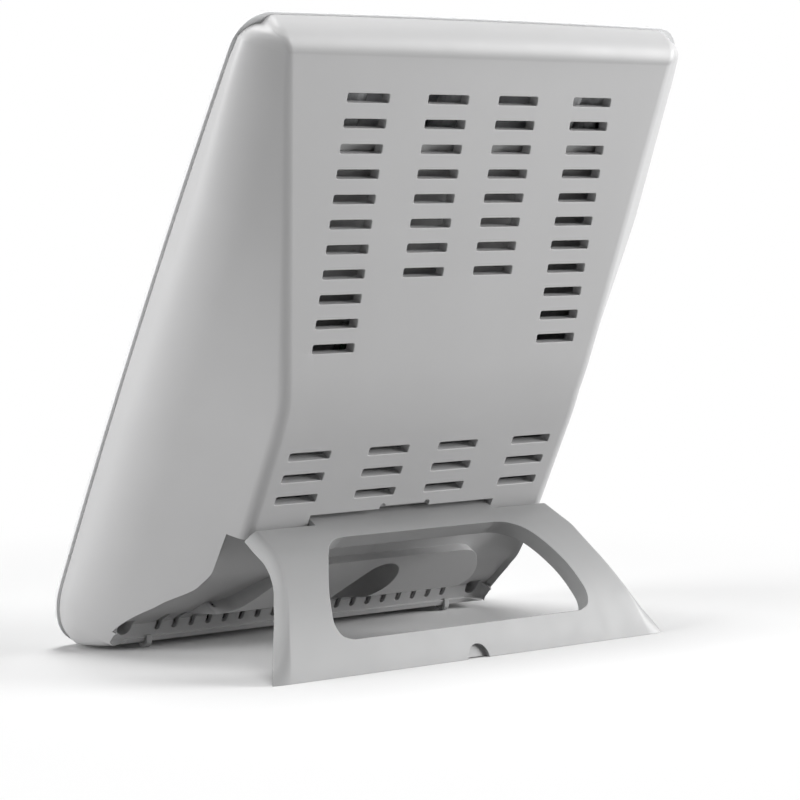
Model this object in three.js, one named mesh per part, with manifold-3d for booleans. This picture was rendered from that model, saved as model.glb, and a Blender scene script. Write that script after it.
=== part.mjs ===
// Light therapy lamp with a fold-out stand, millimetres, +Z up.
// The lit front faces -Y. The lamp leans back on its stand, and the floor is z = 0.
import * as THREE from 'three';
import { mergeVertices } from 'three/addons/utils/BufferGeometryUtils.js';
import Module from 'manifold-3d';

const wasm = await Module();
wasm.setup();

// Driving dimensions of the case, in its own frame:
// x across, w from the front plane towards the back, v up along the front plane.
const leanDegrees = 28;
const caseHalfWidth = 199.9;
const caseHeight = 475;
const sideBow = 6.6;
const widestShare = 0.6;
const bottomCornerRise = 50;
const bottomCornerReach = 33;
const topCornerRadius = 24;
const wall = 3;
const gap = 0.3;
const mergeReach = 0.04;
const cutOverrun = 30;

// Front frame
const frameDepth = 3.5;
const frameFrontEdge = 1.6;
const frameBorder = 25.9;
const windowHalfWidth = caseHalfWidth - frameBorder;
const windowBottom = 56;
const windowTop = 452;
const windowCornerRadius = 14;
const frameScrewStart = 1.2;

// Rear cover: depths of its back, measured from the front plane
const sideSetback = 2.2;
const coverTopDrop = 7;
const crownDrop = 1.2;
const crownCornerRadius = 8;
const crownBow = 1.4;
const coverTopCornerRadius = 16;
const backTopHeight = 457.7;
const backTopDepth = 27.2;
const bendHeight = 235;
const bendDepth = 89.9;
const bendReach = 24;
const hingeEdgeHeight = 144.6;
const hingeEdgeDepth = 93.4;
const stripTop = 36.8;
const stripBottom = 25.5;
const stripDepth = 38;
const lipBottom = 21.6;
const lipDepth = 39.4;
const flankFoot = 72.3;
const flankLow = 69.7;
const flankTop = 32.9;
const flankFlare = 27.9;
const stripMargin = 35.9;
const lipMargin = 27.9;
const spineHalfWidthFoot = caseHalfWidth - flankFoot;
const spineHalfWidthLow = caseHalfWidth - flankLow;
const spineHalfWidthTop = caseHalfWidth - flankTop;
const spineHalfWidthFlare = caseHalfWidth - flankFlare;
const stripHalfWidth = caseHalfWidth - stripMargin;
const lipHalfWidth = caseHalfWidth - lipMargin;
const spineEdgeRadius = 10;
const sideEdgeRadius = 12;
const sideEdgeShare = 0.34;
const sideWallDepth = 8.2;
const sideWallTopDepth = 0.5;
const sideWallFullHeight = 325;

// Ventilation slots in the back
const slotLength = 35.2;
const slotHeight = 6;
const slotPitch = 16.46;
const slotDepth = 7.8;
const slotRim = 2;
const outerSlotShare = 0.5002;
const innerSlotShare = 0.1561;
const outerSlotColumn = caseHalfWidth * outerSlotShare;
const innerSlotColumn = caseHalfWidth * innerSlotShare;
const upperSlotDrop = 25.3;
const lowerSlotRise = 55;
const upperSlotHeight = backTopHeight - upperSlotDrop;
const lowerSlotHeight = hingeEdgeHeight + lowerSlotRise;
const outerSlotRows = 11;
const innerSlotRows = 8;
const lowerSlotRows = 3;
const bottomVentCount = 19;
const bottomVentPitchShare = 0.0884;
const bottomVentPitch = stripHalfWidth * bottomVentPitchShare;
const bottomVentWidth = 4.6;
const bottomVentLow = 29.5;
const bottomVentHigh = 47;

// Recess under the folded stand, and the raised block in it
const recessTop = 137.8;
const recessRim = 1.6;
const recessEdgeDepth = 83;
const recessFloorDepth = 76;
const recessFloorInset = 22;
const blockMargin = 16.2;
const blockHalfWidth = spineHalfWidthLow - blockMargin;
const blockBottom = 57.8;
const blockTop = 99.9;
const blockLowDepth = 65;
const blockHighDepth = 78.4;
const blockUndercutHeight = 14;
const blockUndercutDepth = 22.4;
const blockRootDepth = 29;
const scoopRadius = 17.3;
const scoopInletX = -24;
const scoopInletHeight = 76;
const scoopMouthRadius = 9.5;
const scoopMouthX = 4;
const scoopMouthHeight = 52;
const scoopDepth = 22;

// Hinge and stand
const hingeHeight = 140.8;
const hingeDepth = 86;
const barrelRadius = 8;
const barrelHalfLength = 80.6;
const barrelClearance = 0.9;
const notchRise = 3.5;
const tongueHalfWidth = 20;
const tongueRise = 2.2;
const washerThickness = 1.4;
const washerRadius = 6.6;
const knuckleRadius = 7;
const knuckleLength = 15;
const hingePinRadius = 2.5;
const hingePinLength = 27;
const pinHoleClearance = 0.3;
const standWall = 3;
const standRim = 12;
const standStraight = 36.5;
const standFootForward = 87.6;
const standFootDrop = 87.6;
const standBend = 14;
const footBend = 36;
const footBendDegrees = 75;
const standMargin = 23.7;
const standHalfWidth = caseHalfWidth - standMargin;
const standFlangeDepth = 9;
const standTrim = 12.4;
const chordDegrees = 48.2;
const openingStart = 23.8;
const openingHeight = 78;
const openingMargin = 62.2;
const openingHalfWidth = standHalfWidth - openingMargin;
const notchRadius = 9.5;
const footBarHeight = 4;

// Feet and screws
const footMargin = 63.3;
const footX = caseHalfWidth - footMargin;
const footWidth = 5;
const footLength = 18;
const footHeight = 9;
const footBack = 47.4;
const screwMargin = 40.7;
const screwX = caseHalfWidth - screwMargin;
const screwHeight = 34;
const screwHeadRadius = 4.2;
const screwHeadThickness = 2.6;
const crossHalfLength = 2.1;
const crossHalfWidth = 0.55;
const screwShankRadius = 1.8;
const screwWellRadius = 5.6;
const screwPostRadius = 8;
const screwWellFloor = 22;
const screwClearance = 0.35;

// Light unit, its width and the places in it tied to the window
const reflectorMargin = 16;
const reflectorHalfWidth = windowHalfWidth - reflectorMargin;
const diffuserThickness = 3;
const diffuserLap = 8;
const lampCount = 3;
const lampPitchShare = 0.6835;
const lampPitch = reflectorHalfWidth * lampPitchShare;
const lampLength = 411;
const lampStart = 29;
const tubeRadius = 8.75;
const tubeSpacing = 23;
const tubeDepth = 16.3;
const baseLength = 30;
const baseWidth = 43;
const baseThickness = 17;
const socketWall = 3;
const socketLength = 26;
const bridgeRadius = 5;
const bridgeDrop = 14;
const clipBreadth = 10;
const clipThickness = 1.2;
const reflectorThickness = 1;
const reflectorDepth = 33;
const reflectorWing = 20;
const reflectorBottom = 42;
const reflectorDrop = 36;
const reflectorTop = lampStart + lampLength - reflectorDrop;
const clipDrop = 12;
const clipHeight = reflectorTop - clipDrop;

// Ballast, terminal block, mains inlet and switch
const chassisWidthShare = 0.9494;
const chassisWidth = reflectorHalfWidth * chassisWidthShare;
const chassisHeight = 54;
const chassisDepth = 26;
const chassisThickness = 1.2;
const chassisShare = -0.1266;
const chassisX = reflectorHalfWidth * chassisShare;
const chassisBottom = 212;
const boardThickness = 1.6;
const boardMargin = 4;
const chokeShare = -0.3671;
const chokeX = reflectorHalfWidth * chokeShare;
const chokeWidth = 34;
const chokeHeight = 28;
const chokeDepth = 15;
const capacitorShare = 0.0633;
const capacitorX = reflectorHalfWidth * capacitorShare;
const capacitorRadius = 7;
const capacitorLength = 32;
const terminalShare = -0.905;
const terminalWidthShare = 0.2848;
const terminalX = reflectorHalfWidth * terminalShare;
const terminalWidth = reflectorHalfWidth * terminalWidthShare;
const terminalHeight = 16;
const terminalDepth = 14;
const inletRadius = 7.6;
const inletLength = 15;
const inletHoleReach = 24;
const inletBore = 5.4;
const inletBoreDepth = 9;
const inletPinRadius = 1.1;
const inletPinLength = 8;
const buttonRadius = 8;
const buttonProud = 1.4;
const buttonFlange = 2;
const buttonFlangeThickness = 1.6;
const buttonTravel = 2;
const buttonHeight = 30;
const buttonX = lampPitch / 2;
const buttonClearance = 0.4;
const switchSize = 26;
const switchDepth = 11;

// Colours taken from the photograph; inner pieces are plain
const looks = {
  shellGrey: { color: 0xbcbdbe, roughness: 0.5, metalness: 0 },
  standGrey: { color: 0xb4b5b6, roughness: 0.5, metalness: 0 },
  frameWhite: { color: 0xf4f5f6, roughness: 0.35, metalness: 0 },
  diffuser: { color: 0xf7f8fa, roughness: 0.3, metalness: 0 },
  reflectorWhite: { color: 0xeceded, roughness: 0.4, metalness: 0.1 },
  tubeGlass: { color: 0xf2f4f5, roughness: 0.2, metalness: 0 },
  basePlastic: { color: 0xe6e6e2, roughness: 0.55, metalness: 0 },
  steel: { color: 0x9a9c9e, roughness: 0.35, metalness: 1 },
  brass: { color: 0xc4a04e, roughness: 0.35, metalness: 1 },
  board: { color: 0x3f6b47, roughness: 0.6, metalness: 0 },
  darkPlastic: { color: 0x2b2c2e, roughness: 0.55, metalness: 0 },
  footRubber: { color: 0x4a4b4d, roughness: 0.7, metalness: 0 },
  washerNylon: { color: 0x5a5b5d, roughness: 0.6, metalness: 0 },
};

const lean = THREE.MathUtils.degToRad(leanDegrees);
const coverFront = frameDepth + gap;

// Corners closer than mergeReach become one, and faces that lose their area go
function toSolid(geometry) {
  const bare = geometry.clone();
  bare.deleteAttribute('normal');
  bare.deleteAttribute('uv');
  const merged = mergeVertices(bare, mergeReach);
  const faces = [];
  for (let i = 0; i < merged.index.count; i += 3) {
    const [a, b, c] = merged.index.array.slice(i, i + 3);
    if (a !== b && b !== c && c !== a) faces.push(a, b, c);
  }
  const mesh = new wasm.Mesh({
    numProp: 3,
    vertProperties: new Float32Array(merged.attributes.position.array),
    triVerts: new Uint32Array(faces),
  });
  return new wasm.Manifold(mesh);
}

function toGeometry(solid) {
  const mesh = solid.getMesh();
  const geometry = new THREE.BufferGeometry();
  const corners = new Float32Array(mesh.vertProperties);
  geometry.setAttribute('position', new THREE.BufferAttribute(corners, 3));
  geometry.setIndex(new THREE.BufferAttribute(new Uint32Array(mesh.triVerts), 1));
  geometry.computeVertexNormals();
  return geometry;
}

function addPiece(group, name, shape, look) {
  const geometry = shape.isBufferGeometry ? shape : toGeometry(shape);
  const mesh = new THREE.Mesh(geometry, new THREE.MeshStandardMaterial(looks[look]));
  mesh.name = name;
  group.add(mesh);
  return mesh;
}

// A box between two corners
function block(x0, x1, w0, w1, v0, v1) {
  const geometry = new THREE.BoxGeometry(x1 - x0, w1 - w0, v1 - v0);
  geometry.translate((x0 + x1) / 2, (w0 + w1) / 2, (v0 + v1) / 2);
  return toSolid(geometry);
}

// A cylinder from a point along x, y or z
function rod(axis, radius, length, x, y, z, sides = 24) {
  const geometry = new THREE.CylinderGeometry(radius, radius, length, sides);
  geometry.translate(0, length / 2, 0);
  if (axis === 'x') geometry.rotateZ(-Math.PI / 2);
  if (axis === 'z') geometry.rotateX(Math.PI / 2);
  geometry.translate(x, y, z);
  return toSolid(geometry);
}

// A closed skin over rings of equal point counts, capped at both ends
function loft(rings, capPoints) {
  const count = rings[0].length;
  const positions = rings.flat().flatMap((p) => [p.x, p.y, p.z]);
  const index = [];
  for (let i = 0; i < rings.length - 1; i += 1) {
    for (let j = 0; j < count; j += 1) {
      const a = i * count + j;
      const b = i * count + ((j + 1) % count);
      index.push(a, b, b + count, a, b + count, a + count);
    }
  }
  const faces = (points) => {
    const found = THREE.ShapeUtils.triangulateShape(points, []);
    return THREE.ShapeUtils.isClockWise(points) ? found.map(([a, b, c]) => [a, c, b]) : found;
  };
  const top = (rings.length - 1) * count;
  faces(capPoints[0]).forEach(([a, b, c]) => index.push(a, c, b));
  faces(capPoints[1]).forEach(([a, b, c]) => index.push(top + a, top + b, top + c));
  return closedSolid(positions, index);
}

// Turns the faces outward if the enclosed volume comes out negative
function closedSolid(positions, index) {
  const corner = (i) => new THREE.Vector3().fromArray(positions, index[i] * 3);
  let volume = 0;
  for (let i = 0; i < index.length; i += 3) {
    volume += corner(i).dot(corner(i + 1).cross(corner(i + 2)));
  }
  if (volume < 0) {
    for (let i = 0; i < index.length; i += 3) {
      [index[i], index[i + 1]] = [index[i + 1], index[i]];
    }
  }
  const geometry = new THREE.BufferGeometry();
  geometry.setAttribute('position', new THREE.Float32BufferAttribute(positions, 3));
  geometry.setIndex(index);
  return toSolid(geometry);
}

function between(value, low, high) {
  return Math.min(high, Math.max(low, value));
}

// Straight-line reading of a table of [place, value] rows
function read(table, place) {
  const next = table.findIndex((row) => row[0] >= place);
  if (next === 0) return table[0][1];
  if (next < 0) return table[table.length - 1][1];
  const [a, b] = [table[next - 1], table[next]];
  return a[1] + ((b[1] - a[1]) * (place - a[0])) / (b[0] - a[0]);
}

// Width of the case at a height, with its bowed sides
function halfWidthAt(v) {
  return caseHalfWidth - sideBow * ((v / caseHeight - widestShare) / widestShare) ** 2;
}

// Narrowing of a rounded corner, dist away from its end
function cornerInset(dist, radius) {
  if (dist >= radius) return 0;
  return radius - Math.sqrt(Math.max(0, radius ** 2 - (radius - dist) ** 2));
}

// Depth of the back of the case at a height
function backDepth(v) {
  if (v <= lipBottom) return coverFront + gap + ((lipDepth - coverFront - gap) * v) / lipBottom;
  if (v < stripBottom) return lipDepth;
  if (v <= stripTop) return stripDepth;
  const upperSlope = (bendDepth - backTopDepth) / (backTopHeight - bendHeight);
  const lowerSlope = (hingeEdgeDepth - bendDepth) / (bendHeight - hingeEdgeHeight);
  if (v < bendHeight - bendReach) return bendDepth + lowerSlope * (bendHeight - v);
  if (v < bendHeight + bendReach) {
    const t = (v - bendHeight + bendReach) / (2 * bendReach);
    const start = bendDepth + lowerSlope * bendReach;
    const end = bendDepth - upperSlope * bendReach;
    return start * (1 - t) ** 2 + 2 * bendDepth * t * (1 - t) + end * t ** 2;
  }
  if (v <= backTopHeight) return bendDepth - upperSlope * (v - bendHeight);
  const rise = (v - backTopHeight) / (caseHeight - crownDrop - backTopHeight);
  const low = coverFront + gap;
  return low + (backTopDepth - low) * Math.sqrt(Math.max(0, 1 - rise ** 2));
}

// Half width of the raised middle of the back
function spineHalfWidth(v) {
  if (v <= lipBottom) return lipHalfWidth;
  if (v <= stripTop) return stripHalfWidth;
  if (v <= bendHeight) {
    const t = (v - stripTop) / (bendHeight - stripTop);
    return spineHalfWidthFoot + (spineHalfWidthLow - spineHalfWidthFoot) * t;
  }
  if (v <= backTopHeight) {
    const t = (v - bendHeight) / (backTopHeight - bendHeight);
    return spineHalfWidthLow + (spineHalfWidthTop - spineHalfWidthLow) * t;
  }
  const rise = (v - backTopHeight) / (caseHeight - crownDrop - backTopHeight);
  return spineHalfWidthTop + (spineHalfWidthFlare - spineHalfWidthTop) * rise;
}

// The straight side wall gets lower towards the top
function sideWallAt(v) {
  const rise = between((v - sideWallFullHeight) / (backTopHeight - sideWallFullHeight), 0, 1);
  return sideWallDepth + (sideWallTopDepth - sideWallDepth) * rise;
}

function coverSide(v) {
  const drop = caseHeight - coverTopDrop - v;
  const crown = coverTopCornerRadius + cornerInset(caseHeight - crownDrop - v, crownCornerRadius);
  const lower = (cornerInset(v, bottomCornerRise) * bottomCornerReach) / bottomCornerRise;
  const upper = drop > 0 ? cornerInset(drop, coverTopCornerRadius) : crown;
  return halfWidthAt(v) - sideSetback - Math.max(lower, upper);
}

// Half of the case's outline at a height: side wall, rounded edge, flank, rounded edge, back
function halfSection(v, inset) {
  const near = [v - inset, v, v + inset];
  const depth = Math.min(...near.map(backDepth)) - inset;
  const front = inset > 0 ? coverFront - cutOverrun : coverFront;
  const reach = backDepth(v) - coverFront;
  const edge = Math.max(gap, Math.min(spineEdgeRadius, reach / 2) - inset);
  const round = Math.max(gap, Math.min(sideEdgeRadius, reach * sideEdgeShare) - inset);
  const sideX = Math.min(...near.map(coverSide)) - inset;
  const spineX = Math.min(spineHalfWidth(v), sideX - round - edge);
  const sideW = coverFront + Math.min(sideWallAt(v), reach / 4);
  const centreW = depth - edge;
  const dx = sideX - round - spineX;
  const dw = centreW - sideW;
  const bend = between((edge - round) / Math.hypot(dx, dw), -1, 1);
  const slope = Math.atan2(dw, dx) + Math.asin(bend);
  const tilt = Math.max(gap / caseHeight, slope);
  const points = [[sideX, front]];
  const steps = 4;
  for (let i = 0; i <= steps; i += 1) {
    const a = ((Math.PI / 2 - tilt) * i) / steps;
    points.push([sideX - round + round * Math.cos(a), sideW + round * Math.sin(a)]);
  }
  for (let i = steps; i >= 0; i -= 1) {
    const a = (tilt * i) / steps;
    points.push([spineX + edge * Math.sin(a), centreW + edge * Math.cos(a)]);
  }
  backPointShares.forEach((share) => points.push([spineX * share, depth]));
  return points;
}

// The top edge bows up a little towards the middle
function crownLift(x, v) {
  const rise = between((v - backTopHeight) / (caseHeight - crownDrop - backTopHeight), 0, 1);
  return crownBow * rise * Math.max(0, 1 - (x / spineHalfWidthFlare) ** 2);
}

function mirrored(half) {
  const right = half.map(([x, w]) => new THREE.Vector2(x, w));
  const left = half.map(([x, w]) => new THREE.Vector2(-x, w)).reverse();
  return right.concat(left);
}

function stack(sections) {
  const rings = sections.map(({ v, points }) => points.map((p) => (
    new THREE.Vector3(p.x, p.y, v + crownLift(p.x, v)))));
  return loft(rings, [sections[0].points, sections[sections.length - 1].points]);
}

// Heights at which the case's outline is taken, as shares of each stretch
const lowLevelShares = [0, 0.2, 0.45, 0.75];
const lowerLevelShares = [0.15, 0.35, 0.65];
const bendLevelShares = [0, 0.2, 0.4, 0.6, 0.8, 1];
const upperLevelShares = [0.25, 0.55, 0.8, 0.93];
const backPointShares = [0.7, 0.35];
const crownLevelShares = [0, 0.25, 0.45, 0.62, 0.76, 0.87, 0.95, 0.99];

function coverLevels(inset) {
  const spread = (shares, from, to) => shares.map((share) => from + share * (to - from));
  const low = spread(lowLevelShares, inset, lipBottom);
  const stripEnd = stripTop + inset;
  const strip = [lipBottom, stripBottom - gap, stripBottom, stripEnd, stripEnd + gap];
  const lower = spread(lowerLevelShares, stripTop, bendHeight - bendReach);
  const bend = spread(bendLevelShares, bendHeight - bendReach, bendHeight + bendReach);
  const upper = spread(upperLevelShares, bendHeight + bendReach, backTopHeight);
  const crown = spread(crownLevelShares, backTopHeight, caseHeight - crownDrop - inset);
  return low.concat(strip, lower, bend, upper, crown);
}

function caseBody(inset) {
  return stack(coverLevels(inset).map((v) => ({ v, points: mirrored(halfSection(v, inset)) })));
}

// A straight prism over an outline in the plane across the axis, between two places on it
function prism(axis, outline, from, to) {
  const place = {
    x: (p, at) => new THREE.Vector3(at, p.x, p.y),
    w: (p, at) => new THREE.Vector3(p.x, at, p.y),
    v: (p, at) => new THREE.Vector3(p.x, p.y, at),
  }[axis];
  const rings = [from, to].map((at) => outline.map((p) => place(p, at)));
  return loft(rings, [outline, outline]);
}

function outlineOf(rows) {
  return rows.map(([a, b]) => new THREE.Vector2(a, b));
}

function mirrorX(solid) {
  return solid.add(solid.mirror([1, 0, 0]));
}

// Recess: [share of its height, share of its depth], and how far its floor is drawn in
const recessEdgeShares = [
  [0, -0.011], [0.145, 0.175], [0.343, 0.49], [0.584, 0.92], [0.715, 1], [1, 1],
];
const recessFloorShares = [
  [0, -0.018], [0.145, 0.25], [0.343, 0.5], [0.584, 0.83], [0.82, 0.95], [1, 1],
];
const recessInsetShares = [[0, 0.1], [0.5, 1], [1, 1]];

function recessSection(v, grow) {
  const t = (v - stripTop) / (recessTop - stripTop);
  const edgeW = stripDepth + (recessEdgeDepth - stripDepth) * read(recessEdgeShares, t);
  const floorW = stripDepth + (recessFloorDepth - stripDepth) * read(recessFloorShares, t);
  const skin = halfSection(Math.max(v, stripTop + gap), 0).map(([x, w]) => [w, x]);
  const edgeX = read(skin, edgeW) - recessRim;
  const floorX = edgeX - recessFloorInset * read(recessInsetShares, t);
  const half = [
    [floorX + grow, floorW - grow],
    [edgeX + grow, edgeW - grow],
    [edgeX + grow, bendDepth + cutOverrun],
  ];
  return { v, points: mirrored(half) };
}

function recess(grow) {
  const levels = recessEdgeShares.map(([share]) => stripTop + share * (recessTop - stripTop));
  levels[0] -= grow + gap * 2;
  levels[levels.length - 1] += grow;
  return stack(levels.map((v) => recessSection(v, grow)));
}

// Raised block in the recess, with a swept end and a blunt end: [share of half width, share of height]
const sweptEndShares = [
  [0.99, -0.33], [0.955, -0.03], [0.9, 0], [0.816, 0.055], [0.77, 0.13], [0.724, 0.26], [0.687, 0.39],
  [0.651, 0.53], [0.6, 0.69], [0.53, 0.83], [0.45, 0.92], [0.35, 0.98], [0.26, 1],
];
const bluntEndShares = [
  [0.96, -0.33], [0.994, 0], [1.04, 0.12], [1.05, 0.28], [1.03, 0.5], [0.97, 0.74], [0.93, 0.86],
  [0.87, 0.96], [0.8, 1],
];

function raisedBlock(inset) {
  const rise = blockTop - blockBottom;
  const end = (shares, side) => shares.map(([x, v]) => [
    side * (x * blockHalfWidth - inset), blockBottom + v * rise - (v === 1 ? inset : 0)]);
  const outline = outlineOf([...end(sweptEndShares, 1), ...end(bluntEndShares, -1).reverse()]);
  const plan = prism('w', outline, recessFloorDepth - cutOverrun * 2, blockHighDepth + cutOverrun);
  const side = outlineOf([
    [blockRootDepth, blockBottom - blockUndercutHeight + inset],
    [blockLowDepth - blockUndercutDepth - inset, blockBottom - blockUndercutHeight + inset],
    [blockLowDepth - inset, blockBottom + inset],
    [blockHighDepth - inset, blockTop - inset],
    [blockRootDepth, blockTop - inset],
  ]);
  return plan.intersect(prism('x', side, -caseHalfWidth, caseHalfWidth));
}

// Round-ended well in the raised block, where the mains inlet sits
function scoop(grow) {
  const from = new THREE.Vector2(scoopInletX, scoopInletHeight);
  const to = new THREE.Vector2(scoopMouthX, scoopMouthHeight);
  const turn = Math.atan2(to.y - from.y, to.x - from.x);
  const outline = [];
  const steps = 8;
  const taper = Math.asin((scoopRadius - scoopMouthRadius) / from.distanceTo(to));
  const mouth = [to, scoopMouthRadius + grow, turn - Math.PI / 2 + taper, Math.PI - taper * 2];
  const head = [from, scoopRadius + grow, turn + Math.PI / 2 - taper, Math.PI + taper * 2];
  for (const [centre, r, start, sweep] of [mouth, head]) {
    for (let i = 0; i <= steps; i += 1) {
      const a = start + (sweep * i) / steps;
      outline.push(new THREE.Vector2(centre.x + r * Math.cos(a), centre.y + r * Math.sin(a)));
    }
  }
  return prism('w', outline, blockLowDepth - scoopDepth + wall - grow, blockHighDepth + cutOverrun);
}

// Places of the slots on the back: [column, height]
function slotPlaces() {
  const places = [];
  const cut = (column, v) => places.push([column, v]);
  const backSlope = Math.atan2(bendDepth - backTopDepth, backTopHeight - bendHeight);
  const upperDrop = slotPitch * Math.cos(backSlope);
  for (const side of [-1, 1]) {
    for (let row = 0; row < outerSlotRows; row += 1) {
      cut(side * outerSlotColumn, upperSlotHeight - row * upperDrop);
    }
    for (let row = 0; row < innerSlotRows; row += 1) {
      cut(side * innerSlotColumn, upperSlotHeight - row * upperDrop);
    }
    for (let row = 0; row < lowerSlotRows; row += 1) {
      cut(side * outerSlotColumn, lowerSlotHeight - row * slotPitch);
      cut(side * innerSlotColumn, lowerSlotHeight - row * slotPitch);
    }
  }
  return places;
}

// Boxes square to the back at every slot, from below its surface to above it
function slotBoxes(grow, below, above) {
  const boxes = slotPlaces().map(([column, v]) => {
    const slope = Math.atan2(backDepth(v - slotHeight) - backDepth(v + slotHeight), slotHeight * 2);
    const [x, rise] = [slotLength / 2 + grow, slotHeight / 2 + grow];
    const straight = block(-x, x, -below, above, -rise, rise);
    return straight.rotate([THREE.MathUtils.radToDeg(slope), 0, 0]).translate([column, backDepth(v), v]);
  });
  return boxes.reduce((all, one) => all.add(one));
}

function bottomVents() {
  let cuts = null;
  for (let i = 0; i < bottomVentCount; i += 1) {
    const x = (i - (bottomVentCount - 1) / 2) * bottomVentPitch;
    const vent = block(x - bottomVentWidth / 2, x + bottomVentWidth / 2,
      blockRootDepth, stripDepth + cutOverrun, bottomVentLow, bottomVentHigh);
    cuts = cuts ? cuts.add(vent) : vent;
  }
  return cuts;
}

const notchHalfLength = barrelHalfLength + gap * 2 + washerThickness + gap;

function hingePocket(grow) {
  const half = notchHalfLength + grow;
  const radius = barrelRadius + barrelClearance + grow;
  const hollow = rod('x', radius, half * 2, -half, hingeDepth, hingeHeight);
  const back = hingeEdgeDepth + cutOverrun;
  const top = hingeHeight + radius + notchRise;
  const tongue = tongueHalfWidth + grow;
  const notch = block(-half, half, hingeDepth, back, recessTop - wall, top);
  const raised = block(-tongue, tongue, hingeDepth, back, recessTop, top + tongueRise);
  return hollow.add(notch).add(raised);
}

function knuckles() {
  return mirrorX(rod('x', knuckleRadius, knuckleLength, notchHalfLength, hingeDepth, hingeHeight));
}

function hingePinHoles() {
  const length = hingePinLength + wall;
  const start = barrelHalfLength - hingePinLength / 2;
  return mirrorX(rod('x', hingePinRadius + pinHoleClearance, length, start, hingeDepth, hingeHeight, 16));
}

function screwPosts() {
  const length = stripDepth + wall - coverFront;
  return mirrorX(rod('y', screwPostRadius, length, screwX, coverFront, screwHeight));
}

function screwHoles() {
  const well = rod('y', screwWellRadius, cutOverrun, screwX, screwWellFloor, screwHeight);
  const shank = rod('y', screwShankRadius + screwClearance, cutOverrun, screwX, 0, screwHeight, 16);
  return mirrorX(well.add(shank));
}

// Direction and place of the mains inlet in the wall of its well
const inletTurn = Math.atan2(scoopMouthHeight - scoopInletHeight, scoopMouthX - scoopInletX);
const inletW = blockLowDepth - scoopDepth / 2 + wall;

function alongInlet(solid, distance) {
  const turned = solid.rotate([0, (-inletTurn * 180) / Math.PI, 0]);
  return turned.translate([
    scoopInletX - Math.cos(inletTurn) * distance,
    inletW,
    scoopInletHeight - Math.sin(inletTurn) * distance,
  ]);
}

function rearCover() {
  const posts = screwPosts();
  const kept = recess(wall).subtract(raisedBlock(wall)).add(scoop(wall)).add(hingePocket(wall))
    .add(knuckles()).add(posts);
  const hollow = caseBody(wall).subtract(kept);
  const opened = recess(0).subtract(raisedBlock(0)).add(scoop(0)).add(hingePocket(0));
  const sleeves = slotBoxes(slotRim, slotDepth, -gap);
  const slots = slotBoxes(0, cutOverrun / 2, cutOverrun / 2);
  const inletHole = alongInlet(rod('x', inletRadius + gap, inletLength, 0, 0, 0), inletHoleReach);
  return caseBody(0).subtract(hollow).subtract(opened).add(knuckles()).add(sleeves).subtract(slots)
    .subtract(bottomVents()).subtract(hingePinHoles()).subtract(screwHoles()).subtract(inletHole);
}

// Front frame: rounded outline with bowed sides, and the window for the diffuser
function frameOutline(inset) {
  const half = [];
  const radii = { low: bottomCornerRise, high: topCornerRadius };
  const steps = 8;
  for (let i = 0; i <= steps; i += 1) {
    const a = (Math.PI / 2) * (i / steps);
    const v = radii.low * (1 - Math.cos(a));
    half.push([halfWidthAt(v) - bottomCornerReach * (1 - Math.sin(a)) - inset, Math.max(v, inset)]);
  }
  const sides = 6;
  for (let i = 1; i < sides; i += 1) {
    const v = radii.low + ((caseHeight - radii.low - radii.high) * i) / sides;
    half.push([halfWidthAt(v) - inset, v]);
  }
  for (let i = 0; i <= steps; i += 1) {
    const a = (Math.PI / 2) * (i / steps);
    const v = caseHeight - radii.high * (1 - Math.sin(a));
    const x = halfWidthAt(v) - radii.high * (1 - Math.cos(a)) - inset;
    half.push([x, Math.min(v, caseHeight - inset)]);
  }
  backPointShares.forEach((share) => {
    const x = spineHalfWidthFlare * share;
    half.push([x, caseHeight - inset + crownLift(x, caseHeight)]);
  });
  return mirrored(half);
}

function roundedWindow(halfWidth, bottom, top, radius) {
  const shape = [];
  const steps = 6;
  const corners = [[1, bottom, -90], [1, top, 0], [-1, top, 90], [-1, bottom, 180]];
  for (const [side, height, start] of corners) {
    const cx = side * (halfWidth - radius);
    const cv = height + (height === bottom ? radius : -radius);
    for (let i = 0; i <= steps; i += 1) {
      const a = THREE.MathUtils.degToRad(start + (90 * i) / steps);
      shape.push(new THREE.Vector2(cx + radius * Math.cos(a), cv + radius * Math.sin(a)));
    }
  }
  return shape;
}

// Rounded front edge: [share of its depth, share of its inset]
const frameEdgeShares = [[0, 1], [0.3, 0.3], [1, 0]];

function frontFrame() {
  const edge = frameEdgeShares.map(([w, inset]) => [w * frameFrontEdge, inset * frameFrontEdge]);
  const outlines = [...edge, [frameDepth, 0]].map(([w, inset]) => ({ w, points: frameOutline(inset) }));
  const rings = outlines.map(({ w, points }) => points.map((p) => new THREE.Vector3(p.x, w, p.y)));
  const body = loft(rings, [outlines[0].points, outlines[outlines.length - 1].points]);
  const window = roundedWindow(windowHalfWidth, windowBottom, windowTop, windowCornerRadius);
  const buttonHole = rod('y', buttonRadius + buttonClearance, cutOverrun, buttonX, -cutOverrun / 2,
    buttonHeight);
  const screwHole = rod('y', screwShankRadius + screwClearance, frameDepth, screwX, frameScrewStart,
    screwHeight, 16);
  return body.subtract(prism('w', window, -cutOverrun, cutOverrun)).subtract(buttonHole)
    .subtract(mirrorX(screwHole));
}

function diffuserPanel() {
  const outline = roundedWindow(windowHalfWidth + diffuserLap, windowBottom - diffuserLap,
    windowTop + diffuserLap, windowCornerRadius);
  const front = frameDepth + gap;
  return prism('w', outline, front, front + diffuserThickness);
}

// Bent sheet behind the lamps: flat back, two wings towards the diffuser
function reflector() {
  const back = reflectorDepth;
  const front = frameDepth + gap + diffuserThickness + gap;
  const t = reflectorThickness;
  const [inner, tip] = [reflectorHalfWidth, reflectorHalfWidth + reflectorWing];
  const half = [[inner, back - t], [tip, front], [tip + t, front], [inner + t, back]];
  return prism('v', mirrored(half), reflectorBottom, reflectorTop);
}

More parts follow.
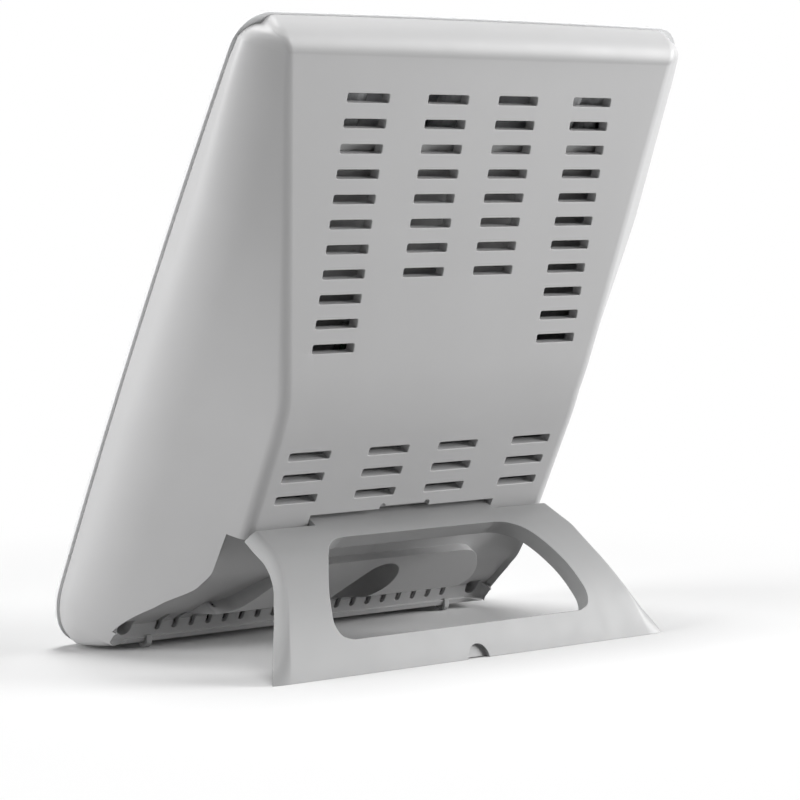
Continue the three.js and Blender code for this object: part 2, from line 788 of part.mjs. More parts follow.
// Compact tube of one lamp: two legs joined by a short bridge near the top
function lampGlass(x) {
  const start = lampStart + baseLength + gap;
  const length = lampLength - baseLength - gap;
  const legs = [-1, 1].map((side) => rod('z', tubeRadius, length, x + (side * tubeSpacing) / 2,
    tubeDepth, start, 16));
  const bridge = rod('x', bridgeRadius, tubeSpacing, x - tubeSpacing / 2, tubeDepth,
    lampStart + lampLength - bridgeDrop, 12);
  return legs[0].add(legs[1]).add(bridge);
}

function lampBase(x) {
  return block(x - baseWidth / 2, x + baseWidth / 2, tubeDepth - baseThickness / 2,
    tubeDepth + baseThickness / 2, lampStart, lampStart + baseLength);
}

// Socket: a cup round the lower end of the base
function lampSocket(x) {
  const inner = { x: baseWidth / 2 + gap, w: baseThickness / 2 + gap };
  const low = lampStart - gap - socketWall;
  const cup = block(x - inner.x - socketWall, x + inner.x + socketWall,
    tubeDepth - inner.w - gap, reflectorDepth - reflectorThickness - gap, low, low + socketLength);
  const bore = block(x - inner.x, x + inner.x, tubeDepth - inner.w * 2, tubeDepth + inner.w,
    lampStart - gap, lampStart + baseLength);
  return cup.subtract(bore);
}

// Spring clip: a back strip with two arms round the legs
function lampClip(x) {
  const outer = tubeSpacing / 2 + tubeRadius + gap;
  const t = clipThickness;
  const back = reflectorDepth - reflectorThickness - gap;
  const lip = tubeDepth - tubeRadius / 2;
  const outline = outlineOf([
    [-outer - t, back], [-outer - t, lip], [-outer, lip], [-outer, back - t],
    [outer, back - t], [outer, lip], [outer + t, lip], [outer + t, back],
  ]).map((p) => new THREE.Vector2(p.x + x, p.y));
  return prism('v', outline, clipHeight, clipHeight + clipBreadth);
}

const chassisFront = reflectorDepth + gap;

function ballastChassis() {
  const t = chassisThickness;
  const back = chassisFront + chassisDepth;
  const [x0, x1] = [chassisX - chassisWidth / 2, chassisX + chassisWidth / 2];
  const outer = block(x0, x1, chassisFront, back, chassisBottom, chassisBottom + chassisHeight);
  const inner = block(x0 - cutOverrun, x1 + cutOverrun, chassisFront + t, back + cutOverrun,
    chassisBottom + t, chassisBottom + chassisHeight - t);
  return outer.subtract(inner);
}

const boardBack = chassisFront + chassisThickness + gap + boardThickness;

function ballastBoard() {
  const half = chassisWidth / 2 - boardMargin;
  return block(chassisX - half, chassisX + half, boardBack - boardThickness, boardBack,
    chassisBottom + boardMargin, chassisBottom + chassisHeight - boardMargin);
}

function ballastChoke() {
  const v = chassisBottom + chassisHeight / 2;
  return block(chokeX - chokeWidth / 2, chokeX + chokeWidth / 2, boardBack + gap,
    boardBack + gap + chokeDepth, v - chokeHeight / 2, v + chokeHeight / 2);
}

function ballastCapacitor() {
  return rod('x', capacitorRadius, capacitorLength, capacitorX, boardBack + gap + capacitorRadius,
    chassisBottom + chassisHeight / 2, 20);
}

function terminalBlock() {
  return block(terminalX, terminalX + terminalWidth, chassisFront, chassisFront + terminalDepth,
    chassisBottom, chassisBottom + terminalHeight);
}

function powerInlet() {
  const body = rod('x', inletRadius, inletLength, 0, 0, 0);
  const bore = rod('x', inletBore, inletBoreDepth, inletLength - inletBoreDepth, 0, 0, 20);
  return alongInlet(body.subtract(bore), scoopRadius + inletLength - gap);
}

function inletPin(side) {
  const start = inletLength - inletBoreDepth + gap;
  const pin = rod('x', inletPinRadius, inletPinLength - gap, start, (side * inletBore) / 2, 0, 10);
  return alongInlet(pin, scoopRadius + inletLength - gap);
}

function powerButton() {
  const capLength = buttonProud + frameDepth + gap + buttonFlangeThickness / 2;
  const cap = rod('y', buttonRadius, capLength, buttonX, -buttonProud, buttonHeight, 32);
  const flange = rod('y', buttonRadius + buttonFlange, buttonFlangeThickness,
    buttonX, frameDepth + gap, buttonHeight, 32);
  return cap.add(flange);
}

// Switch: its housing stands on the frame and leaves a round well for the flange to travel in
function switchBody() {
  const wellDepth = buttonFlangeThickness + buttonTravel + gap;
  const half = switchSize / 2;
  const housing = block(buttonX - half, buttonX + half, coverFront, coverFront + wellDepth + switchDepth,
    buttonHeight - half, buttonHeight + half);
  const radius = buttonRadius + buttonFlange + buttonClearance;
  return housing.subtract(rod('y', radius, wellDepth + cutOverrun, buttonX, coverFront - cutOverrun,
    buttonHeight, 32));
}

function caseScrew(side) {
  const headStart = screwWellFloor + gap;
  const tip = frameScrewStart + gap;
  const head = rod('y', screwHeadRadius, screwHeadThickness, 0, headStart, 0, 20);
  const shank = rod('y', screwShankRadius, headStart + gap - tip, 0, tip, 0, 12);
  const slotDepth = screwHeadThickness / 2;
  const cross = [[crossHalfWidth, crossHalfLength], [crossHalfLength, crossHalfWidth]];
  const cuts = cross.map(([x, v]) => block(-x, x, headStart + slotDepth, headStart + cutOverrun, -v, v));
  return head.add(shank).subtract(cuts[0]).subtract(cuts[1]).translate([side * screwX, 0, screwHeight]);
}

// Stand, in the hinge's frame: x along the hinge, y backwards, z up
const smallShare = 0.001;

function standProfile(share) {
  const out = new THREE.Vector2(Math.cos(lean), -Math.sin(lean));
  const start = new THREE.Vector2(Math.sin(lean), Math.cos(lean)).multiplyScalar(barrelRadius);
  const bend = start.clone().addScaledVector(out, standStraight);
  const foot = new THREE.Vector2(standFootForward, -standFootDrop);
  const down = THREE.MathUtils.degToRad(footBendDegrees);
  const upward = new THREE.Vector2(-Math.cos(down), Math.sin(down));
  const footControl = foot.clone().addScaledVector(upward, footBend);
  const bendControl = bend.clone().addScaledVector(out, standBend);
  const path = new THREE.CurvePath();
  path.add(new THREE.LineCurve(start, bend));
  path.add(new THREE.CubicBezierCurve(bend, bendControl, footControl, foot));
  const end = between(share, smallShare, 1);
  const along = path.getPointAt(end).sub(path.getPointAt(end - smallShare)).normalize();
  const point = path.getPointAt(Math.min(share, 1));
  if (share > 1) point.addScaledVector(along, (share - 1) * path.getLength());
  return { point, normal: new THREE.Vector2(-along.y, along.x) };
}

// Stand: [share of its length, share of its half width or flange depth]
const standLevelShares = [0, 0.14, 0.28, 0.36, 0.46, 0.56, 0.66, 0.76, 0.87, 1, 1.08];
const creaseShares = [
  [0, 0.726], [0.13, 0.736], [0.28, 0.749], [0.36, 0.757], [0.55, 0.806], [0.76, 0.867], [1, 0.914],
];
const flangeShares = [
  [0, 0.777], [0.13, 0.786], [0.28, 0.794], [0.36, 0.801], [0.47, 0.82], [0.55, 0.847], [0.68, 0.888],
  [0.76, 0.916], [0.9, 0.967], [1, 1],
];
const flangeDepthShares = [
  [0, 0.8], [0.2, 0.92], [0.45, 0.84], [0.7, 0.86], [0.85, 0.62], [0.93, 0.36], [1, 0.13],
];

function standSheet(sectionAt) {
  const sections = standLevelShares.map((share) => {
    const { point, normal } = standProfile(share);
    const points = sectionAt(share);
    const ring = points.map((p) => (
      new THREE.Vector3(p.x, point.x + normal.x * p.y, point.y + normal.y * p.y)));
    return { points, ring };
  });
  return loft(sections.map((s) => s.ring), [sections[0].points, sections[sections.length - 1].points]);
}

function standShellSection(share) {
  const crease = read(creaseShares, share) * standHalfWidth;
  const edge = read(flangeShares, share) * standHalfWidth;
  const depth = read(flangeDepthShares, share) * standFlangeDepth;
  const skin = (x0, x1, d0, d1) => {
    const curve = new THREE.QuadraticBezierCurve(new THREE.Vector2(x0, -d0),
      new THREE.Vector2((x0 + x1) / 2, -d0), new THREE.Vector2(x1, -d1));
    return curve.getPoints(4);
  };
  const outer = skin(crease, edge, 0, depth);
  const inner = skin(crease - standWall / 2, edge - standWall, standWall, Math.max(depth, standWall));
  const flip = (p) => new THREE.Vector2(-p.x, p.y);
  return [...outer.map(flip).reverse(), ...outer, ...inner.slice().reverse(), ...inner.map(flip)];
}

function standRimSection(share) {
  const half = read(creaseShares, share) * standHalfWidth - standWall;
  const top = -standWall / 2;
  return outlineOf([[-half, top], [half, top], [half, -standRim], [-half, -standRim]]);
}

// Handle opening: [share of half width, share of height]
const openingSideShares = [
  [0.6, 0], [0.7, 0.035], [0.8, 0.17], [0.93, 0.5], [0.99, 0.75], [1, 0.87], [0.97, 0.96], [0.9, 1],
];

function openingPrism(grow) {
  const side = new THREE.SplineCurve(openingSideShares.map(([x, s]) => new THREE.Vector2(
    x * openingHalfWidth, openingStart + s * openingHeight))).getPoints(18);
  const middle = openingStart + openingHeight / 2;
  const grown = side.map((p) => [p.x + grow, p.y + (grow * (p.y - middle) * 2) / openingHeight]);
  const outline = mirrored(grown);
  const chord = THREE.MathUtils.degToRad(chordDegrees);
  const along = new THREE.Vector2(Math.cos(chord), -Math.sin(chord));
  const out = new THREE.Vector2(Math.sin(chord), Math.cos(chord));
  const rings = [-cutOverrun, cutOverrun * 2].map((h) => outline.map((p) => new THREE.Vector3(
    p.x, along.x * p.y + out.x * h, along.y * p.y + out.y * h)));
  return loft(rings, [outline, outline]);
}

function stand() {
  const rimSheet = standSheet(standRimSection);
  const rim = rimSheet.intersect(openingPrism(standWall));
  const floorZ = -standFootDrop;
  const bar = rimSheet.intersect(block(-standHalfWidth, standHalfWidth, 0, standFootForward * 2,
    floorZ, floorZ + footBarHeight));
  const barrel = rod('x', barrelRadius, barrelHalfLength * 2, -barrelHalfLength, 0, 0, 28);
  const backwards = (solid) => solid.rotate([-leanDegrees, 0, 0]);
  const trim = backwards(mirrorX(block(barrelHalfLength, standHalfWidth, -cutOverrun, standTrim,
    -cutOverrun, cutOverrun)));
  const underFloor = block(-standHalfWidth * 2, standHalfWidth * 2, -cutOverrun, standFootForward * 2,
    floorZ - cutOverrun, floorZ);
  const notch = rod('y', notchRadius, cutOverrun * 2, 0, standFootForward - cutOverrun, floorZ);
  const holes = mirrorX(rod('x', hingePinRadius + pinHoleClearance, hingePinLength,
    barrelHalfLength - hingePinLength / 2, 0, 0, 16));
  return standSheet(standShellSection).add(rim).add(bar).subtract(trim).add(barrel)
    .subtract(openingPrism(0)).subtract(underFloor).subtract(notch).subtract(holes);
}

function hingePin(side) {
  const length = hingePinLength - gap * 2;
  const start = barrelHalfLength - hingePinLength / 2 + gap;
  const pin = rod('x', hingePinRadius, length, start, 0, 0, 16);
  return side > 0 ? pin : pin.mirror([1, 0, 0]);
}

function hingeWasher(side) {
  const start = barrelHalfLength + gap;
  const disc = rod('x', washerRadius, washerThickness, start, 0, 0);
  const washer = disc.subtract(rod('x', hingePinRadius + pinHoleClearance, cutOverrun, 0, 0, 0, 16)
    .translate([start - cutOverrun / 2, 0, 0]));
  return side > 0 ? washer : washer.mirror([1, 0, 0]);
}

// The hinge line in the leaning case, and how far the case's own origin is above the floor
const hingeY = hingeDepth * Math.cos(lean) + hingeHeight * Math.sin(lean);
const hingeZ = hingeHeight * Math.cos(lean) - hingeDepth * Math.sin(lean);
const caseRise = standFootDrop - hingeZ;

// Outline of a foot from behind to the front: [share of length, share of height]
const footOutlineShares = [
  [0, 1], [0, 0], [0.45, 0], [0.6, 0.05], [0.73, 0.15], [0.84, 0.3], [0.93, 0.5], [1, 0.8], [1, 1],
];

// Foot: an upright fin under the lip of the case, its top cut to the case with a small clearance
function foot(side) {
  const outline = outlineOf(footOutlineShares.map(([y, z]) => [
    footBack - y * footLength, z * footHeight - caseRise]));
  const x = side * footX;
  const fin = prism('x', outline, x - footWidth / 2, x + footWidth / 2);
  const body = caseBody(0);
  const aroundCase = body.add(body.translate([0, gap, -gap])).rotate([-leanDegrees, 0, 0]);
  return fin.subtract(aroundCase);
}

// Assembly: the leaning case, and the stand on its hinge line
const lamp = new THREE.Group();
const leaningCase = new THREE.Group();
leaningCase.rotation.x = -lean;
lamp.add(leaningCase);
addPiece(leaningCase, 'front_frame', frontFrame(), 'frameWhite');
addPiece(leaningCase, 'diffuser_panel', diffuserPanel(), 'diffuser');
addPiece(leaningCase, 'rear_cover', rearCover(), 'shellGrey');
addPiece(leaningCase, 'reflector', reflector(), 'reflectorWhite');
for (let i = 0; i < lampCount; i += 1) {
  const x = (i - (lampCount - 1) / 2) * lampPitch;
  addPiece(leaningCase, `lamp_${i + 1}_glass`, lampGlass(x), 'tubeGlass');
  addPiece(leaningCase, `lamp_${i + 1}_base`, lampBase(x), 'basePlastic');
  addPiece(leaningCase, `lamp_${i + 1}_socket`, lampSocket(x), 'basePlastic');
  addPiece(leaningCase, `lamp_${i + 1}_clip`, lampClip(x), 'steel');
}
addPiece(leaningCase, 'ballast_chassis', ballastChassis(), 'steel');
addPiece(leaningCase, 'ballast_board', ballastBoard(), 'board');
addPiece(leaningCase, 'ballast_choke', ballastChoke(), 'darkPlastic');
addPiece(leaningCase, 'ballast_capacitor', ballastCapacitor(), 'darkPlastic');
addPiece(leaningCase, 'terminal_block', terminalBlock(), 'basePlastic');
addPiece(leaningCase, 'power_inlet', powerInlet(), 'darkPlastic');
addPiece(leaningCase, 'power_button', powerButton(), 'frameWhite');
addPiece(leaningCase, 'switch_body', switchBody(), 'darkPlastic');

const hinge = new THREE.Group();
hinge.position.set(0, hingeY, hingeZ);
lamp.add(hinge);
addPiece(hinge, 'stand', stand(), 'standGrey');

for (const [name, side] of [['left', -1], ['right', 1]]) {
  addPiece(leaningCase, `inlet_pin_${name}`, inletPin(side), 'brass');
  addPiece(leaningCase, `case_screw_${name}`, caseScrew(side), 'steel');
  addPiece(hinge, `hinge_pin_${name}`, hingePin(side), 'steel');
  addPiece(hinge, `hinge_washer_${name}`, hingeWasher(side), 'washerNylon');
  addPiece(lamp, `foot_${name}`, foot(side), 'footRubber');
}

// The origin is the middle of the bottom: the floor is standFootDrop below the hinge line
lamp.updateMatrixWorld(true);
const extent = new THREE.Box3().setFromObject(lamp, true);
lamp.position.set(0, -(extent.min.y + extent.max.y) / 2, caseRise);

export default lamp;
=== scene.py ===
# Light therapy lamp seen from behind: dressed model, floor, light and camera.
import math
import bpy
import bmesh
from mathutils import Matrix, Vector


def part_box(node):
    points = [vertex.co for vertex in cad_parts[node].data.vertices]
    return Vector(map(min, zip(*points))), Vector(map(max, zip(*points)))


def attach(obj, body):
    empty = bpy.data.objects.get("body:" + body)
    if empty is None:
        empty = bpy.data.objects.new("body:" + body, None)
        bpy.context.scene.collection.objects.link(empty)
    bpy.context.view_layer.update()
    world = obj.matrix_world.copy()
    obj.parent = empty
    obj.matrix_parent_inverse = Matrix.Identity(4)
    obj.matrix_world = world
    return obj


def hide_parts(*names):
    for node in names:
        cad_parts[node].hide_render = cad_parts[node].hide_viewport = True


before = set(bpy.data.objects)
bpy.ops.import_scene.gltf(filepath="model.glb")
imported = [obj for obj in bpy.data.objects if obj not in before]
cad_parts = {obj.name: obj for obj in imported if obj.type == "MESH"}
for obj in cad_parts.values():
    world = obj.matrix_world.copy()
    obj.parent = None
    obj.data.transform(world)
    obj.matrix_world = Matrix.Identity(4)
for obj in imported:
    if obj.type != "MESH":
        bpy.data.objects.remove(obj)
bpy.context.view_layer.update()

# Driving dimensions of the case in its own frame, millimetres:
# x across, w from the front plane towards the back, v up along the front plane.
PER_METRE = 1000
LEAN = math.radians(28)
WALL, GAP, OVERRUN, SLIVER, TINY = 3.0, 0.3, 30.0, 0.02, 0.01
# Outline from the front. WIDEST is the share of the height where the case is widest.
HALF_WIDTH, HEIGHT, BOW, WIDEST = 199.8, 475.0, 6.6, 0.6
CORNER_RISE, CORNER_REACH, TOP_CORNER = 50.0, 33.0, 24.0
FRAME_DEPTH, FRAME_JOINT = 3.5, 0.06
COVER_FRONT = FRAME_DEPTH + FRAME_JOINT
# How far the shell stays inside the frame, and the rounding of its top
SIDE_SETBACK, TOP_DROP, CROWN_DROP = 2.2, 7.0, 1.2
CROWN_RADIUS, CROWN_BOW, COVER_TOP_RADIUS = 8.0, 1.15, 16.0
# Back from the side: height and depth of each change of slope
BACK_TOP, BACK_TOP_DEPTH = 457.7, 27.2
BEND, BEND_DEPTH, BEND_REACH = 235.0, 89.9, 24.0
HINGE_EDGE, HINGE_EDGE_DEPTH = 144.6, 93.4
STRIP_TOP, STRIP_BOTTOM, STRIP_DEPTH = 36.8, 25.5, 38.0
LIP_BOTTOM, LIP_DEPTH = 21.6, 39.4
# Half width of the raised middle at its foot, bend, top and crown, and its edge's radius
SPINE_FOOT, SPINE_LOW, SPINE_TOP, SPINE_FLARE = 124.5, 127.1, 166.0, 172.0
SPINE_EDGE = 15.0
# Side wall: its height, the most it takes of the depth, the share of it that stays straight,
# its curve's reach along the flank, and its height low down
SIDE_HEIGHT, SIDE_SHARE, SIDE_START = 24.0, 0.43, 0.36
SIDE_SWEEP, SIDE_SWEEP_SHARE = 28.0, 0.85
SIDE_LOW, SIDE_LOW_RISE = 17.0, 60.0
# Channel at the foot of the recess: half length, and radii of its lower and upper corners
STRIP_END, STRIP_UNDER, STRIP_OVER, STRIP_LIFT = 172.2, 3.0, 4.6, 1
# Underside: blend of its edge, and its rise beyond the channel's ends
UNDER_EDGE, UNDER_SHARE = 6.0, 0.8
LIP_RISE, LIP_REACH, LIP_LEAD = 6.4, 14.0, 1.2
SLOT_LENGTH, SLOT_HEIGHT, SLOT_PITCH, SLOT_CORNER = 35.2, 6.0, 16.46, 1.2
OUTER_COLUMN, INNER_COLUMN = 100.0, 31.2
UPPER_SLOT, LOWER_SLOT = 432.4, 199.6
OUTER_ROWS, INNER_ROWS, LOWER_ROWS = 11, 8, 3
VENT_COUNT, VENT_PITCH, VENT_WIDTH, VENT_LOW, VENT_HIGH = 19, 14.5, 4.6, 29.5, 47.0
# Recess for the stand. Its rim is narrow near the hinge, where the folded stand comes close,
# and wide below the share RECESS_RIM_FULL of its height.
RECESS_TOP, RECESS_EDGE, RECESS_FLOOR, RECESS_INSET = 137.8, 83.0, 76.0, 22.0
RECESS_RIM, RECESS_RIM_LOW, RECESS_RIM_FULL, RECESS_RIM_CHANGE = 0.9, 4.6, 0.6, 0.3
# Raised block in the recess, its undercut and its scoop
BLOCK_HALF, BLOCK_BOTTOM, BLOCK_TOP, BLOCK_LOW, BLOCK_HIGH = 114.0, 57.8, 99.9, 65.0, 78.4
UNDERCUT_HEIGHT, UNDERCUT_DEPTH, BLOCK_ROOT, BLOCK_EDGE = 14.0, 22.4, 29.0, 4.5
SCOOP_RADIUS, SCOOP_INLET, SCOOP_MOUTH_RADIUS, SCOOP_MOUTH = 17.3, (-24.0, 76.0), 9.5, (4.0, 52.0)
SCOOP_DEPTH = 22.0
# Hinge
HINGE_V, HINGE_W, BARREL, BARREL_HALF, BARREL_CLEAR = 140.8, 86.0, 8.0, 80.6, 0.9
NOTCH_RISE, TONGUE_HALF, TONGUE_RISE, WASHER = 3.5, 20.0, 2.2, 1.4
TONGUE_LUG, TONGUE_LUG_DROP = 2.6, 0.6
NOTCH_HALF = BARREL_HALF + GAP * 2 + WASHER + GAP
KNUCKLE, KNUCKLE_LENGTH, PIN, PIN_LENGTH = 7.0, 15.0, 2.5, 27.0
# Stand
STAND_WALL, STAND_RIM, STAND_STRAIGHT, FOOT_DROP = 3.0, 12.0, 36.5, 87.6
STAND_BEND, FOOT_BEND, FOOT_DEGREES, STAND_HALF, FLANGE = 14.0, 36.0, 75.0, 176.2, 9.0
STAND_TRIM, CHORD = 12.4, math.radians(48.2)
OPEN_START, OPEN_HEIGHT, OPEN_HALF = 23.8, 78.0, 114.0
NOTCH_RADIUS, FOOT_BAR = 9.5, 4.0
# Screw wells and their posts
SCREW_X, SCREW_V, WELL, WELL_RISE, POST, WELL_FLOOR = 159.2, 34.0, 5.8, 7.5, 8.0, 22.0
# Front: the window's half width, lower and upper edge and corner radius, and the button
WINDOW = (174.0, 56.0, 452.0, 14.0)
BUTTON_X, BUTTON_V, BUTTON_RADIUS, BUTTON_CLEAR = 54.0, 30.0, 8.0, 0.4
# Fins that stand on the floor: radius of the heel, curve of the toe, rounding of the edges
FIN_HEEL, FIN_TOE, FIN_EDGE = 4.0, 1.8, 1.2
# Angles, in degrees, over which an edge is rounded or stays sharp
BEVEL_DEGREES, SHARP_DEGREES = 50, 32

pin_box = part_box("hinge_pin_left")
HINGE_Y = (pin_box[0].y + pin_box[1].y) / 2
HINGE_Z = (pin_box[0].z + pin_box[1].z) / 2
# From millimetres in a frame of its own to metres in the part's frame
MM = Matrix.Scale(1 / PER_METRE, 4)
CASE = (Matrix.Translation((0, HINGE_Y, HINGE_Z)) @ Matrix.Rotation(-LEAN, 4, "X") @ MM
        @ Matrix.Translation((0, -HINGE_W, -HINGE_V)))
HINGE = Matrix.Translation((0, HINGE_Y, HINGE_Z)) @ MM


def between(value, low, high):
    return min(high, max(low, value))


def smooth(table, place):
    """Smooth reading of [place, value] rows that never overshoots them."""
    if place <= table[0][0]:
        return table[0][1]
    if place >= table[-1][0]:
        return table[-1][1]
    step = [(b[1] - a[1]) / (b[0] - a[0]) for a, b in zip(table, table[1:])]
    inner = [0 if p * q <= 0 else 2 * p * q / (p + q) for p, q in zip(step, step[1:])]
    slope = [step[0]] + inner + [step[-1]]
    i = max(k for k, row in enumerate(table[:-1]) if row[0] <= place)
    (x0, y0), (x1, y1) = table[i], table[i + 1]
    h = x1 - x0
    t = (place - x0) / h
    return (y0 * (1 + 2 * t) * (1 - t) ** 2 + y1 * t * t * (3 - 2 * t)
            + h * (slope[i] * t * (1 - t) ** 2 - slope[i + 1] * t * t * (1 - t)))


# Meshes
def mesh_object(name, points, faces):
    mesh = bpy.data.meshes.new(name)
    mesh.from_pydata([tuple(p) for p in points], [], faces)
    bm = bmesh.new()
    bm.from_mesh(mesh)
    bmesh.ops.remove_doubles(bm, verts=bm.verts, dist=TINY)
    bmesh.ops.recalc_face_normals(bm, faces=bm.faces)
    if bm.calc_volume(signed=True) < 0:
        bmesh.ops.reverse_faces(bm, faces=bm.faces)
    bm.to_mesh(mesh)
    bm.free()
    obj = bpy.data.objects.new(name, mesh)
    bpy.context.scene.collection.objects.link(obj)
    return obj


def ring_faces(base, count, n):
    """Quads between count rings of n points, of which the first is point number base."""
    return [(base + i * n + j, base + i * n + k, base + (i + 1) * n + k, base + (i + 1) * n + j)
            for i in range(count - 1) for j in range(n) for k in [(j + 1) % n]]


def loft(name, rings, fan=False):
    """Closed skin over rings. Each end is one face, or strips between mirrored points."""
    n = len(rings[0])
    faces = ring_faces(0, len(rings), n)
    for base in (0, (len(rings) - 1) * n):
        if fan:
            faces.append(tuple(base + j for j in range(n)))
        else:
            for j in range(n // 2 - 1):
                faces.append((base + j, base + j + 1, base + n - 2 - j, base + n - 1 - j))
    return mesh_object(name, [p for ring in rings for p in ring], faces)


def ring_solids(name, sets):
    """One mesh of several separate lofts."""
    points, faces = [], []
    for rings in sets:
        base, n = len(points), len(rings[0])
        points += [p for ring in rings for p in ring]
        faces += ring_faces(base, len(rings), n)
        for start in (base, base + (len(rings) - 1) * n):
            faces.append(tuple(start + j for j in range(n)))
    return mesh_object(name, points, faces)


def apply_modifiers(obj):
    shown = obj.evaluated_get(bpy.context.evaluated_depsgraph_get())
    mesh = bpy.data.meshes.new_from_object(shown)
    obj.modifiers.clear()
    obj.data = mesh
    return obj


def boolean(target, tool, how):
    mod = target.modifiers.new("cut", "BOOLEAN")
    mod.operation = how
    mod.object = tool
    mod.solver = "MANIFOLD"
    apply_modifiers(target)
    bpy.data.objects.remove(tool)
    return target


def cut(target, tool):
    return boolean(target, tool, "DIFFERENCE")


def join(target, tool):
    return boolean(target, tool, "UNION")


def meet(target, tool):
    return boolean(target, tool, "INTERSECT")


def rounded(obj, width, segments):
    mod = obj.modifiers.new("edge", "BEVEL")
    mod.width = width
    mod.segments = segments
    mod.limit_method = "ANGLE"
    mod.angle_limit = math.radians(BEVEL_DEGREES)
    mod.use_clamp_overlap = True
    return apply_modifiers(obj)


def prism(axis, outline, start, end, name="prism"):
    place = {"x": lambda p, at: (at, p[0], p[1]), "w": lambda p, at: (p[0], at, p[1]),
             "v": lambda p, at: (p[0], p[1], at)}[axis]
    return loft(name, [[place(p, at) for p in outline] for at in (start, end)], fan=True)


def box(x0, x1, w0, w1, v0, v1):
    return prism("v", [(x0, w0), (x1, w0), (x1, w1), (x0, w1)], v0, v1)


def circle(cx, cy, radius, count=48, start=0.0, sweep=2 * math.pi):
    whole = abs(sweep - 2 * math.pi) < 1e-6
    steps = count if whole else count - 1
    angles = [start + sweep * i / steps for i in range(count)]
    return [(cx + radius * math.cos(a), cy + radius * math.sin(a)) for a in angles]


def rod(axis, radius, start, end, a, b, count=48):
    return prism(axis, circle(a, b, radius, count), start, end)


def mirrored(half):
    return list(half) + [(-x, y) for x, y in reversed(half)]


def both_sides(make):
    return join(make(1), make(-1))


# Case: widths, depths and the section at a height
def half_width(v):
    return HALF_WIDTH - BOW * ((v / HEIGHT - WIDEST) / WIDEST) ** 2


def corner_inset(distance, radius):
    if distance >= radius:
        return 0.0
    return radius - math.sqrt(max(0.0, radius ** 2 - (radius - distance) ** 2))


def back_depth(v):
    low = COVER_FRONT + GAP
    if v <= LIP_BOTTOM:
        return low + (LIP_DEPTH - low) * v / LIP_BOTTOM
    if v < STRIP_BOTTOM:
        return LIP_DEPTH
    upper = (BEND_DEPTH - BACK_TOP_DEPTH) / (BACK_TOP - BEND)
    lower = (HINGE_EDGE_DEPTH - BEND_DEPTH) / (BEND - HINGE_EDGE)
    if v < BEND - BEND_REACH:
        return BEND_DEPTH + lower * (BEND - v)
    if v < BEND + BEND_REACH:
        t = (v - BEND + BEND_REACH) / (2 * BEND_REACH)
        start = BEND_DEPTH + lower * BEND_REACH
        end = BEND_DEPTH - upper * BEND_REACH
        return start * (1 - t) ** 2 + 2 * BEND_DEPTH * t * (1 - t) + end * t ** 2
    if v <= BACK_TOP:
        return BEND_DEPTH - upper * (v - BEND)
    rise = (v - BACK_TOP) / (HEIGHT - CROWN_DROP - BACK_TOP)
    return low + (BACK_TOP_DEPTH - low) * math.sqrt(max(0.0, 1 - rise ** 2))


def spine_half(v):
    if v <= BEND:
        return SPINE_FOOT + (SPINE_LOW - SPINE_FOOT) * max(0.0, v - STRIP_TOP) / (BEND - STRIP_TOP)
    if v <= BACK_TOP:
        return SPINE_LOW + (SPINE_TOP - SPINE_LOW) * (v - BEND) / (BACK_TOP - BEND)
    return SPINE_TOP + (SPINE_FLARE - SPINE_TOP) * (v - BACK_TOP) / (HEIGHT - CROWN_DROP - BACK_TOP)


def cover_side(v):
    drop = HEIGHT - TOP_DROP - v
    crown = COVER_TOP_RADIUS + corner_inset(HEIGHT - CROWN_DROP - v, CROWN_RADIUS)
    upper = corner_inset(drop, COVER_TOP_RADIUS) if drop > 0 else crown
    lower = corner_inset(v, CORNER_RISE) * CORNER_REACH / CORNER_RISE
    return half_width(v) - SIDE_SETBACK - max(lower, upper)


# Places of the points across the flat back, as shares of its half width
BACK_SHARES = (0.86, 0.72, 0.58, 0.44, 0.3, 0.15)


def soft_limit(value, limit, blend):
    """The smaller of two values, with a rounded change from one to the other."""
    share = max(0.0, 1 - abs(value - limit) / blend)
    return min(value, limit) - share ** 2 * blend / 4


def end_rise(x, v):
    """Beyond the ends of the channel the slope of the underside runs on instead of the flat lip."""
    share = between((v - LIP_BOTTOM) / (STRIP_BOTTOM - LIP_BOTTOM), 0, 1)
    return LIP_RISE * share * between((x - STRIP_END) / LIP_REACH + LIP_LEAD, 0, 1)


